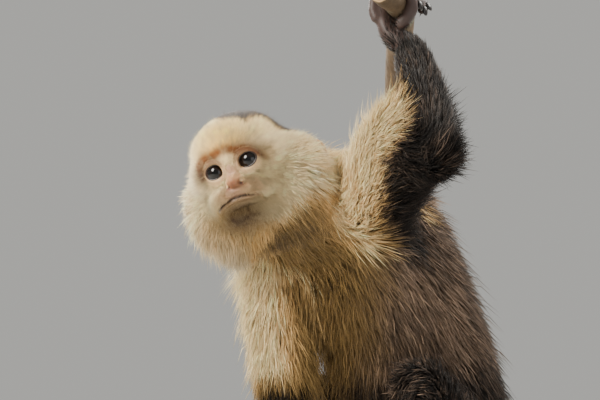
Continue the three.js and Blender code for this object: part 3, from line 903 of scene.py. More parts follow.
def makeEye(side):
    # a ball with the cornea's bulge; its colours follow the angle from the line that it looks along
    gaze = unit(blend(eye["toCamera"], vec(0, -1, -0.03), eyeLine @ headTurn))
    aside = unit(np.cross(gaze, vec(0.1, 0.2, 1)))
    s = np.linspace(0, 1, eye["rings"] + 2)[1:-1]
    rays = rayGrid(gaze, aside, np.cross(aside, gaze), math.pi * (0.5 * s + 0.5 * s**2), eye["sectors"])
    off = np.degrees(np.arccos(np.clip(rays @ gaze, -1, 1)))
    bulge = eye["cornea"] * np.clip(1 - (off / eye["corneaEdge"]) ** 2, 0, 1) ** 1.2
    points = rays * (headFrame["eyeRadius"] + bulge)[:, None]
    streak = noise(unit(np.cross(rays, gaze)) * 40, 1.6, 5) * 0.35 + noise(rays * 9, 1.1, 6) * 0.2
    colour = tinted(rise(off, 15, 30), shades["iris"], shades["irisEdge"]) * (1 + streak)[:, None]
    colour = tinted(rise(off, eye["pupil"] - 1, eye["pupil"] + 1), shades["pupil"], colour)
    colour = tinted(rise(off, eye["iris"] - 2, eye["iris"] + 3), colour, shades["irisEdge"])
    colour = tinted(rise(off, eye["iris"] + 3, eye["white"]), colour, shades["white"])
    triangles = outward(points, gridFaces(eye["rings"], eye["sectors"]))
    return fromHead(points + eyeCentre(side)), triangles, colour


def makeRim(side, count=120, around=14):
    # the margin of the lids: a thin closed ring along the almond opening, lying on the eyeball
    angle = np.linspace(0, 2 * math.pi, count, endpoint=False)
    c, s = np.cos(angle), np.sin(angle)
    across = lids["halfWidth"] * np.sign(c) * np.abs(c) ** (2 / lids["corner"])
    up = np.where(s > 0, lids["up"], lids["down"]) * np.sign(s) * np.abs(s) ** 0.98
    inner = rise(-c, 0.6, 1)  # the inner corner runs on towards the nose
    across, up = across - 1.3 * inner, up - 0.7 * inner
    s, c = sineOf(lids["slant"]), cosineOf(lids["slant"])
    x, z = (across * c - up * s) * side, across * s + up * c
    y = -np.sqrt(np.maximum(lids["rimRadius"] ** 2 - x**2 - z**2, 1))
    path = np.column_stack([x, y, z])
    out = unit(path)
    wide = unit(np.cross(unit(np.roll(path, -1, 0) - np.roll(path, 1, 0)), out))
    turn = np.linspace(0, 2 * math.pi, around, endpoint=False)
    ring = (
        path[:, None]
        + wide[:, None] * (lids["rimWide"] * np.cos(turn))[None, :, None]
        + out[:, None] * (lids["rimDeep"] * np.sin(turn))[None, :, None]
    )
    at = np.arange(count * around).reshape(count, around)
    after, ahead = np.roll(at, -1, 1), np.roll(at, -1, 0)
    corners = [(at, after, ahead), (after, np.roll(ahead, -1, 1), ahead)]
    triangles = np.vstack([np.stack(three, -1).reshape(-1, 3) for three in corners])
    points = ring.reshape(-1, 3)
    return fromHead(points + eyeCentre(side)), outward(points, triangles)


def makeEar(side):
    # a dished oval: the front face with its bowl, inner ridge and rolled rim, then the back down to the skull
    rows, columns = 26, 72
    r = np.sin(np.linspace(0, math.pi / 2, rows))[1:]
    angle = np.linspace(0, 2 * math.pi, columns, endpoint=False)
    c, s = np.cos(angle)[None], np.sin(angle)[None]
    oval = 1 + 0.06 * np.cos(2 * angle - 0.6)[None] - 0.05 * np.cos(3 * angle)[None]
    both = np.concatenate([r, r[::-1]])[:, None]
    behind = np.repeat([False, True], len(r))[:, None]
    y, z = both * c * ear["long"] * oval, both * s * ear["high"] * oval
    dish = -ear["cup"] * bell(np.hypot(y + 2.5, z * 0.8), 6.5)
    dish = dish + ear["rim"] * bell(both - 0.9, 0.13) * rise(c, -1.05, -0.4)
    ridge = 1.3 * bell(both - 0.6, 0.1) * rise(c, -0.2, 0.4) + 1.6 * bell(np.hypot(y + 7.5, z + 2), 2.4)
    edge = np.sqrt(np.maximum(1 - both**4, 0))
    backFace = dish - ear["thick"] * edge - ear["root"] * bell(np.hypot(y + 2, z * 0.9), 6)
    x = np.where(behind, backFace, dish + ridge + 0.4 * edge)
    bowl = -ear["cup"] * bell(2.5, 6.5)
    poles = vec(bowl + 0.4, 0, 0), vec(bowl - ear["thick"] - ear["root"] * bell(2, 6), 0, 0)
    local = np.vstack([poles[0], np.stack([x, y, z], -1).reshape(-1, 3), poles[1]])
    x, y, z = local.T
    deep, high = rise(x, -1, -4), rise(x, 0.2, 1.6)
    s, c = sineOf(ear["forward"]), cosineOf(ear["forward"])
    x, y = x * c + y * s, -x * s + y * c
    points = np.column_stack([(x + ear["at"][0]) * side, y + ear["at"][1], z + ear["at"][2]])
    # the ear's hollow and back are painted darker and its raised ridge and rim paler: painted shade and
    # painted light
    colour = tinted(deep, shades["earSkin"], shades["earSkin"] * vec(0.55, 0.4, 0.38))
    colour = tinted(high, colour, shades["skin"] * 0.95)
    return fromHead(points), outward(points, gridFaces(2 * len(r), columns)), colour


# the markings, with painted light and shade among them, which skin and coat share

coatStops = (0, 0.18, 0.36, 0.55, 0.75, 1)
coatTones = np.array([
    tone(15, 12, 12), tone(48, 36, 27), tone(88, 68, 45),
    tone(146, 118, 72), tone(226, 183, 120), tone(255, 229, 178),
])


def coatTone(pale):
    # the colour of the coat for a number from 0, black, through brown and gold, to 1, cream
    return np.stack([np.interp(pale, coatStops, coatTones[:, k]) for k in range(3)], -1)


def bodyPale(p, fields):
    # how pale the coat is at each place of the body: one sum of bands and fades for each limb
    x, y, z = p.T
    limb, out = fields["limb"], fields["out"]
    wander = noise(p, 26, 11) * 5 + noise(p, 9, 12) * 2.5
    # a darker stroke across the throat: painted shade under the chin
    throatShade = 0.3 * stroke(x + y, z, (-115, 480), (-62, 482), 20)
    armpit = 0.28 * stroke(x + y, z, (-50, 504), (4, 484), 13) * rise(out[:, 0], 0, 0.4)

    # the trunk: dark at the back, olive brown at the sides and low on the front, cream high on the front; the
    # olive brown is partly the coat's own colour and partly painted shade
    trunk = np.interp(-out[:, 1], (-1, 0, 0.55, 0.78, 1), (0.12, 0.23, 0.28, 0.34, 0.9)) + wander / 150
    trunk = np.where(-out[:, 1] > 0.78, blend(rise(z, 425, 470), 0.34, trunk), trunk)
    trunk = trunk + 0.45 * bell(lengthOf(p - vec(44, -78, 512)), 36)
    trunk = (trunk - armpit - throatShade) * (1 - 0.88 * rise(z + wander, 410, 388))

    nape = 0.85 * rise(out[:, 1] * 26 - np.abs(x + 4) + wander, 8, 24)
    # the underside of the neck is darker: painted shade
    neck = 1.05 - nape - 0.3 * rise(-out[:, 2], 0.1, 0.8)
    neck = neck - throatShade - 0.9 * rise(y, -84, -58) * rise(out[:, 2], 0, 0.5)

    edge = (x + y) - np.clip(-23 + 0.95 * (z - 528), -21, 3.5) + wander * 0.7
    armLeft = (1 - 0.16 * rise(fields["along"], 0.5, 0)) * (1 - rise(edge, -10, 7))
    # across the right upper arm: whiter on the side turned to the camera's left, where the key light stands,
    # golden to brown on the side turned away; partly the coat's own colour, partly painted light and shade
    around = np.interp(out[:, 0] + out[:, 1], (-1.4, -0.3, 0.3, 1.1), (1.02, 0.9, 0.7, 0.42))
    armRight = around * (1 - rise(z + wander * 0.7, 400, 380))
    thigh = 0.05 + 0.1 * rise(z, 330, 300)

    pale = np.zeros(len(p))
    found = {
        "trunk": trunk, "neck": neck, "upperArmLeft": armLeft, "upperArmRight": armRight,
        "thighLeft": thigh, "thighRight": thigh,
    }
    for name, value in found.items():
        pale = np.where(amongLimbs(limb, name), value, pale)
    return np.clip(pale, 0, 1)


def headPale(q):
    # the dark cap: from the crown back and down the nape, its front edge a blunt wedge; and painted shadow
    # below the cheeks
    x, y, z = q.T
    wander = noise(q, 12, 21) * 1.6
    inside = y + 28.5 - 0.75 * np.maximum(np.abs(x - 11) - 6, 0) ** 1.25 + 0.8 * wander
    cap = rise(inside, -1.5, 2.5) * rise(z, -8, 10) * (0.82 + 0.13 * rise(inside, 8, 26))
    nape = rise(17 - np.abs(x) + wander * 2, -4, 6) * rise(y, 26, 36)
    pale = 1 - np.maximum(cap, nape * 0.93)
    # below a slanting line under the cheeks the ruff goes over into the gold and brown of the throat, as
    # painted shadow under the head
    underCheekShadow = rise(-41.5 + 0.3 * x - z + 1.5 * wander, -2, 6) * rise(y, 25, 5)
    return blend(underCheekShadow, pale, np.minimum(pale, 0.4 + 0.34 * rise(x, 20, 46)))


def browBandAndShadow(q):
    # the band of foxy hair close above each eye, its darkness partly painted shadow under the brow ridge: a
    # bell across an arched line
    x, y, z = q.T
    across = np.abs(x)
    height = 7.0 + 1.4 * bell(x, 5) - 0.13 * x - 0.1 * np.maximum(across - 14, 0) ** 2
    band = bell(z - height - 0.7, 3.3) * (0.75 + 0.25 * rise(across, 0.5, 4)) * rise(across, 25, 21)
    return band * rise(-y, 10, 20)


def faceColour(q):
    # the bare skin of the face, layer over layer, and how bare it is
    x, y, z = q.T
    across = np.abs(x)
    eyeDistance, above = eyeGap(x, z)
    aside, lip, inMouth = mouthPlace(x, z)
    socket = bell(eyeDistance - 9.0, 2.6) * rise(across, 16, 21) * rise(z, -7, -2)
    layers = (
        (bell(x, 6) * rise(z, -11, -5) * rise(z, 16, 6), shades["bridge"]),
        # the upper lid dark brown, running on from the brow band: partly its own colour, partly painted shade
        # under the brow ridge
        (0.8 * bell(eyeDistance - 7.0, 2.4) * above, shades["lidUpper"]),
        (0.5 * bell(eyeDistance - 7.2, 2.4) * (1 - above), shades["lidLower"]),
        # the outer part of each socket darker: painted shade
        (0.75 * socket, shades["browSkin"] * 0.7),
        (0.85 * browBandAndShadow(q), shades["browSkin"]),
        (0.9 * bell(np.hypot(x / 1.45, z + 13.6), 5.4), shades["noseTip"]),
        # darker under the nose tip: painted shade
        (0.6 * bell(np.hypot(x / 1.4, z + 16.6), 2.8), shades["noseTip"] * 0.55),
        (0.8 * stroke(across, z, (5.8, -15.4), (7.3, -12.0), 1.9), shades["nostrilRim"]),
        # darker along the crease beside the nose: painted shade
        (0.6 * stroke(across, z, (7, -12), (12.5, -20.5), 1.5), shades["lip"] * 0.5),
        # the nostrils near black: painted shade in the openings
        (stroke(across, z, (4.5, -15.4), (6.7, -12.5), 1.3), shades["nostril"]),
        (0.75 * bell(np.hypot((x + 3) / 1.9, z + 20), 4.5), shades["lip"]),
        (0.6 * bell(lip - 1.5, 1.6) * inMouth, shades["lip"]),
        # the lower lip darker: painted shade under the upper lip
        (0.7 * bell(lip + 1.8, 1.7) * rise(aside, 19, 14), shades["lip"] * 0.45),
        (0.8 * bell(np.hypot((x + 5) / 1.7, z + 35), 8) * rise(lip, -1, -3), shades["chin"]),
        # a near black line where the lips meet: painted shade in the mouth's gap
        (bell(lip, 1.05) * inMouth, shades["mouthLine"]),
    )
    freckle = 1 + 0.08 * noise(q, 5, 31) + 0.05 * noise(q, 1.6, 32)
    colour = shades["skin"] * freckle[:, None]
    for share, shade in layers:
        colour = tinted(share, colour, shade)
    bare = np.maximum.reduce([
        1 - rise(eyeDistance, 7.6, 10.2),
        1 - rise(np.hypot(x / 5.5, (z + 9.5) / 9.5), 0.75, 1.1),
        0.7 - 0.7 * rise(np.hypot(x / 10, (z + 18.5) / 5), 0.7, 1.2),
        inMouth * (1 - rise(np.abs(lip + 0.3), 1.0, 2.4)),
    ])
    return colour, bare * rise(-y, 12, 22)


# the coat is fuller in the gap between the right arm and the belly, in millimetres
fuller = {"at": (-27, -45, 394), "wide": 30, "length": 16, "depth": 11}


def coatAt(p):
    # all that the coat needs at points of the skin, in millimetres of the row frame
    fields = bodyFields(p)
    q = toHead(p)
    x, y, z = q.T
    across = np.abs(x)
    far, rays = lengthOf(q), unit(q)
    near = far < 90
    ratio, coatReach = np.full(len(p), 9.0), np.zeros(len(p))
    ratio[near] = far[near] / skinReach(rays[near])
    coatReach[near] = reachOf(rays[near], headShape["coat"])
    head = np.maximum(1 - rise(ratio, 1.045, 1.16), rise(-y, 14, 22) * (far < 62) * (z > -32))
    faceTone, bare = faceColour(q)

    # on the head the hair runs away from the middle of the face and from the eyes, and down where it hangs
    away = q - vec(0, -34, -6)
    away[:, 2] -= 60 * rise(y, 8, 40) + 22 * rise(-z, 6, 26) * rise(across, 10, 24) + 16 * rise(-z, 24, 40)
    for side in (1, -1):
        off = (q - eyeCentre(side)) * vec(1, 0, 1)
        push = 0.6 * bell(lengthOf(off) - 8, 3) * lengthOf(away) * rise(-y, 10, 18)
        away = away + unit(off) * push[:, None]
    lie = unit(tinted(head, fields["lie"], unit(away @ headTurn.T)))

    # its length and depth there: short on the face, long on the ruff, less by the ears and the eyes
    fromFace = faceDistance(q)
    ruff = rise(across, 10, 34) * rise(-z, -8, 16) * rise(y, -28, 4)
    nearEar = bell(np.hypot(y - ear["at"][1] + 2, z - ear["at"][2]), 13) * rise(across, 18, 28)
    nearEye = (1 - rise(eyeGap(x, z)[0], 6.5, 13)) * rise(-y, 10, 18)
    length = 2.1 + 2.5 * rise(fromFace, 10, 34) + 2.6 * rise(fromFace, 34, 62)
    length += 10 * ruff + 4.5 * rise(-z, 28, 42) * rise(y, -26, 0)
    length *= (1 - 0.7 * nearEar) * (1 - 0.5 * nearEye)
    depth = np.minimum(np.clip(coatReach - far, 0.5, 14), 1 + 0.4 * np.maximum(fromFace - 14, 0))
    depth *= (1 - 0.8 * nearEar) * (1 - 0.7 * nearEye)
    length = blend(head, fields["length"], np.maximum(length, depth * 1.9))
    depth = blend(head, fields["depth"], depth)
    byBelly = bell(lengthOf(p - vec(*fuller["at"])), fuller["wide"])
    return {
        **fields, "head": head, "local": q, "lie": lie, "fromFace": fromFace, "faceTone": faceTone,
        "length": length + fuller["length"] * byBelly, "depth": depth + fuller["depth"] * byBelly,
        "pale": blend(rise(head, 0.3, 0.7), bodyPale(p, fields), headPale(q)),
        "bare": bare * head, "ruff": ruff * head,
    }


def coatColours(p, fields, spread):
    # colours at the root and at the tip of each tuft: the pale scale, then layers of tint over it
    q = fields["local"]
    x, y, z = q.T
    head = fields["head"]
    pale = np.clip(fields["pale"] + spread * 0.06 + 0.05 * noise(p, 14, 41), 0, 1)
    root, tip = coatTone(pale), coatTone(np.clip(pale * 1.06 + 0.03 * (pale > 0.12), 0, 1))
    warm = head * rise(z, 6, 12) * (1 - rise(z, 24, 36)) * rise(-y, 2, 16)
    warm = warm * bell(x, 22) * rise(pale, 0.6, 0.95)
    # painted shade: gold and brown on the lower face, mostly on the head's right side
    jawShade = head * rise(pale, 0.6, 0.9) * rise(12 - x, 0, 18) * rise(-z, 17, 30) * rise(48 + x, 0, 14)
    muzzle = head * (1 - rise(np.hypot(x / 16, (z + 19) / 9), 0.7, 1.2)) * rise(-y, 14, 24)
    outer = head * bell(np.hypot(np.abs(x) - 20.5, (z - 1) * 0.8), 5.0)
    outer = outer * rise(-y, 4, 14) * (1 - 0.6 * (x > 0))
    # the brow band: foxy hair, darkened in part as painted shadow under the brow ridge
    browAndShadow = head * browBandAndShadow(q)
    chin = head * bell(np.hypot((x + 5.5) / 1.9, z + 34), 10) * rise(-y, 12, 20)
    chin = chin * rise(mouthPlace(x, z)[1], -0.5, -2)
    # between the pale and the dark coat: banded brown hair, and painted light: pinkish grey tips on the flank
    # as painted backlight, olive gold towards the chest partly painted shade
    agoutiAndPaintedLight = bell(pale - 0.32, 0.17) * (1 - head)
    flank = rise(p[:, 0] + p[:, 1], -60, 0)
    rootLayers = (
        (0.8 * warm, (234, 180, 78)),
        (0.75 * jawShade, (156, 110, 40)),
        (0.7 * muzzle, (166, 122, 86)),
        (0.95 * browAndShadow, (96, 50, 14)),
        (0.9 * outer, (66, 40, 22)),
        (0.95 * chin, (36, 22, 10)),
        (0.3 * agoutiAndPaintedLight * (1 - flank), (104, 78, 36)),
    )
    tipLayers = (
        (0.65 * warm, (251, 214, 120)),
        (0.55 * jawShade, (206, 160, 80)),
        (0.6 * muzzle, (218, 184, 144)),
        (0.9 * browAndShadow, (146, 84, 30)),
        (0.8 * outer, (104, 66, 36)),
        (0.9 * chin, (78, 49, 22)),
        (0.6 * agoutiAndPaintedLight * flank, (186, 156, 134)),
        (0.6 * agoutiAndPaintedLight * (1 - flank), (190, 152, 88)),
        # the ruff's tips nearly white: partly its own colour, partly painted rim light
        (0.6 * fields["ruff"] * rise(pale, 0.7, 0.95), (254, 246, 224)),
    )
    for share, shade in rootLayers:
        root = tinted(np.clip(share * (1 + 0.22 * spread), 0, 1), root, tone(*shade))
    for share, shade in tipLayers:
        tip = tinted(np.clip(share * (1 + 0.3 * spread), 0, 1), tip, tone(*shade))
    return root, tip


# the skin, put together

skinParts = [makeBody(), makeHead(), makeExtremity(makeHandLeft()), makeExtremity(makeHandRight())]
skinParts += [makeExtremity(makeFoot(*names)) for names in sides]
skinPoints, skinTriangles = united(skinParts)
skinNormals = normalsOf(skinPoints, skinTriangles)
skinFields = coatAt(skinPoints)
print("skin", len(skinTriangles), "triangles")

handLike = amongLimbs(skinFields["limb"], *handLimbs)
handLike |= (skinFields["ratio"] > 1.3) & (skinFields["head"] < 0.3)
# the skin under the coat takes the coat's root colours, darkened: painted shade under the hair
underCoat = coatColours(skinPoints, skinFields, np.zeros(len(skinPoints)))[0]
underCoat = underCoat * (0.6 + 0.2 * skinFields["head"])[:, None]
handTone = shades["handSkin"] * (1 + 0.15 * noise(skinPoints, 3, 51))[:, None]
skinColour = np.where(handLike[:, None], handTone, underCoat)
headSkin = skinFields["head"] * rise(skinFields["fromFace"], 44, 26)
skinColour = tinted(headSkin * 0.75, skinColour, shades["skin"] * 0.92)
skinColour = tinted(rise(skinFields["bare"], 0.05, 0.6), skinColour, skinFields["faceTone"])


# finishes

def skinFinish():
    # the markings with their painted light and shade, mottled, with fine pores in the bump and in the gloss
    f = Finish("skin")
    fine = f.noise(900, 3, 0.6)
    pores = f.node("ShaderNodeTexVoronoi", {"feature": "F1"}, {"Vector": f.coords, "Scale": 1400})
    return f.done({
        "Base Color": f.mottled(0.35, f.attribute("marking"), f.noise(160, 2), (0.62, 0.5, 0.46)),
        "Roughness": 0.42 + fine * 0.22, "Specular IOR Level": 0.45,
        "Subsurface Weight": 0.12, "Subsurface Radius": (0.006, 0.002, 0.001), "Subsurface Scale": 0.35,
        "Normal": f.bump(fine * 0.6 + pores * 0.5, 0.35, 0.0004),
    })


def coatFinish():
    # the markings with their painted light and shade, broad faint stains and a little sheen
    f = Finish("coat")
    return f.done({
        "Base Color": f.mottled(0.16, f.attribute("marking"), f.noise(70, 2), (0.55, 0.5, 0.44), 0.35, 0.65),
        "Roughness": 0.6, "Specular IOR Level": 0.2,
        "Sheen Weight": 0.06, "Sheen Roughness": 0.5, "Sheen Tint": (1, 0.95, 0.88, 1),
    })


def eyeFinish():
    # wet and clear
    f = Finish("eye")
    roughness = 0.05 + f.noise(500) * 0.03
    return f.done({"Base Color": f.attribute("marking"), "Roughness": roughness, "Specular IOR Level": 0.45})


def grainFinish(name, scale, detail, dark, light, roughness, vary, strength, depth):
    # one fine grain that shifts the colour, the gloss and the bump
    f = Finish(name)
    grain = f.noise(scale, detail)
    return f.done({
        "Base Color": f.ramp(grain, (0.3, dark), (0.7, light)),
        "Roughness": roughness + grain * vary if vary else roughness,
        "Normal": f.bump(grain, strength, depth),
    })


def barkFinish():
    # bark on the outside; on the sawn ends pale wood with growth rings about the wood's own axis
    f = Finish("bark")
    grain = f.noise(260, 5, 0.65)
    ringPlace = f.attribute("fromAxis", "Fac") * 2300 + f.noise(60, 2) * 7
    rings = f.node("ShaderNodeMath", {"operation": "SINE"}, {0: ringPlace})
    wood = f.ramp(rings * 0.5 + 0.5, (0.1, tone(150, 112, 70)), (0.7, tone(204, 168, 120)))
    shell = f.mottled(0.55, f.attribute("marking"), grain, (0.35, 0.32, 0.3))
    return f.done({
        "Base Color": f.mix(f.attribute("cut", "Fac"), shell, wood),
        "Roughness": 0.7 + grain * 0.2, "Specular IOR Level": 0.3,
        "Normal": f.bump(grain + f.noise(900, 3) * 0.4, 0.6, 0.001),
    })


def baseFinish():
    # stained hardwood with the grain along x
    f = Finish("stained_wood")
    x, y, z = (f.node("ShaderNodeSeparateXYZ", {}, {"Vector": f.coords}, k) for k in range(3))
    along = f.node("ShaderNodeCombineXYZ", {}, {0: x * 0.12, 1: y, 2: z})
    grain, streaks = f.noise(120, 5, 0.6, along), f.noise(700, 3, 0.6, along)
    colour = f.ramp(grain, (0.3, tone(46, 28, 18)), (0.55, tone(82, 50, 30)), (0.75, tone(104, 66, 40)))
    return f.done({
        "Base Color": f.mottled(0.3, colour, streaks, (0.5, 0.42, 0.36), 0.4, 0.6),
        "Roughness": 0.32 + streaks * 0.14, "Normal": f.bump(streaks, 0.12, 0.0004),
    })


lidRim, nailTone = shades["lidRim"], shades["nail"]
finishes = {
    "skin": skinFinish(), "coat": coatFinish(), "eye": eyeFinish(),
    "bark": barkFinish(), "base": baseFinish(),
    "rim": grainFinish("lid_margin", 800, 3, lidRim * 0.6, lidRim * 1.3, 0.3, 0, 0.2, 0.0003),
    "nail": grainFinish("nail", 600, 4, nailTone * 0.6, nailTone * 1.5, 0.3, 0.15, 0.2, 0.0002),
    "rod": grainFinish("black_paint", 700, 4, tone(22, 22, 23), tone(36, 36, 37), 0.38, 0.16, 0.1, 0.0002),
}
addPiece("skin", (skinPoints, skinTriangles, skinColour), finishes["skin"], "coat_body", *fleshNodes)
for side, _, sign in sides:
    addPiece("eyeball_" + side, makeEye(sign), finishes["eye"], "eye", "eye_" + side)
    addPiece("lid_margin_" + side, makeRim(sign), finishes["rim"], "face_skin")
    addPiece("ear_shell_" + side, makeEar(sign), finishes["skin"], "face_skin", "ear_" + side)
for owner, forms in nailForms.items():
    addPiece("nails_" + owner, joined(forms), finishes["nail"], "hand_skin")
print("face and nails ready")


# the bough and the side shoot

bark = {
    "rings": 170, "sides": 84, "shootRings": 260, "shootSides": 40,
    "furrow": 0.055, "lump": 0.03, "smooth": 0.6,
}


def makeBark(name, node, stations, across, rings, sides, seed, rough):
    # furrows that run along the wood and broad lumps, both from noise on a cylinder as long as the piece
    centre = np.array(stations)[:, :3]
    size = stations[0][3]
    reach = lengthOf(np.diff(centre, axis=0)).sum()

    def relief(t, angle):
        p = np.stack(np.broadcast_arrays(np.cos(angle) * size, np.sin(angle) * size, t * reach), -1)
        lines = noise(p.reshape(-1, 3) * vec(1, 1, 0.2), size * 0.16, seed) * bark["furrow"]
        lumps = noise(p.reshape(-1, 3) * vec(1, 1, 0.6), size * 0.7, seed + 1) * bark["lump"]
        return 1 + rough * (lines + lumps).reshape(p.shape[:2])

    points, triangles = tube(stations, across, rings, sides, 0.05, relief)
    patches = rise(noise(points, 15, seed + 2) + 0.6 * noise(points, 5, seed + 3), 0.25, 0.7)
    colour = tinted(0.5 + 0.5 * noise(points, 9, seed + 4), tone(84, 68, 51), tone(126, 106, 82))
    colour = tinted(0.55 * patches, colour, tone(138, 144, 122))
    made = addPiece(name, (points, triangles, colour), finishes["bark"], "bark", node)

    # which points are on the sawn ends, and how far each is from the wood's axis there
    last = rings + 2 * domeRows - 1
    row = np.concatenate([[0], np.repeat(np.arange(last + 1), sides), [last]])
    cut = (row < domeRows - 1) | (row > last - domeRows + 1)
    toFirst, toLast = points - centre[0], points - centre[-1]
    fromFirst = lengthOf(np.cross(toFirst, unit(centre[1] - centre[0])))
    fromLast = lengthOf(np.cross(toLast, unit(centre[-1] - centre[-2])))
    fromAxis = np.where(lengthOf(toFirst) < lengthOf(toLast), fromFirst, fromLast) * mm
    paint(made, "cut", cut[:, None] * vec(1, 1, 1))
    paint(made, "fromAxis", fromAxis[:, None] * vec(1, 1, 1))


places = np.linspace(bough["back"], bough["front"], 9)
stations = [(*boughCentre(y), boughThick(y), boughThick(y)) for y in places]
makeBark("bough_bark", "perch", stations, vec(1, 0, 0), bark["rings"], bark["sides"], 71, 1)
radii = blend(np.linspace(0, 1, len(shoot["path"])), shoot["low"], shoot["high"])
stations = [(*p, r, r) for p, r in zip(shoot["path"], radii)]
shootGrid = bark["shootRings"], bark["shootSides"]
makeBark("shoot_bark", "perch_shoot", stations, vec(0.2, 1, 0), *shootGrid, 81, bark["smooth"])
for name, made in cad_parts.items():
    if name.startswith("stand_"):
        made.data.materials.clear()
        made.data.materials.append(finishes["base" if name == "stand_base" else "rod"])
print("wood ready")


# the coat: tufts rooted all over the skin

tufts = {
    "lengthSpread": 0.22,  # how much tufts vary in length
    "stray": 0.08, "ruffStray": 0.1,  # share of tufts that stand off, and how many more on the ruff
    "swirl": 0.22, "curl": 0.14,  # turning of the lie in patches and tuft by tuft, in radians
    "clump": 0.36,  # how far tufts lean together into locks
    "wave": 0.05, "droop": 0.12, "thin": 0.55,
    "patch": 0.003,  # size of a tuft's patch on the map for baking
}


def tiltedTo(angle, along, towards):
    # a direction turned by an angle from one to the other of two that are square to each other
    return along * np.cos(angle)[:, None] + towards * np.sin(angle)[:, None]


def tuftFaces(lengths):
    # one tuft: rings of three points, sides between them, an end cap and a tip
    tip = 3 * lengths
    faces = [(0, 2, 1)]
    for ring in range(lengths - 1):
        for k in range(3):
            a, b = 3 * ring + k, 3 * ring + (k + 1) % 3
            faces += [(a, b, a + 3), (b, b + 3, a + 3)]
    faces += [(tip - 3 + k, tip - 3 + (k + 1) % 3, tip) for k in range(3)]
    return np.array(faces)


def addBakeMap(piece, root, unwrap, along):
    # the map for baking: each tuft is a small patch at its root's place, and the skin is unwrapped about
    # an axis, by the angle round it and the height along it
    centre, axis, reach = unwrap
    patch = tufts["patch"]
    q = root - centre
    first = unit(np.cross(axis, vec(0.3, 0.5, 0.8)))
    angle = np.arctan2(q @ np.cross(axis, first), q @ first) / (2 * math.pi) + 0.5
    height = np.clip((q @ axis) / reach * 0.5 + 0.5, 0, 1)
    corner = patch + (1 - 3 * patch) * np.stack([angle, height], 1)
    offset = np.zeros((len(along), 2))
    offset[:-1, 0] = np.resize([0, patch / 2, patch], len(along) - 1)
    offset[-1, 0] = patch / 2
    offset[:, 1] = along * patch
    loops = np.empty(len(piece.data.loops), np.int32)
    piece.data.loops.foreach_get("vertex_index", loops)
    places = (corner[:, None] + offset).reshape(-1, 2)[loops]
    piece.data.uv_layers.new(name="OFBake").data.foreach_set("uv", places.astype(np.float32).ravel())


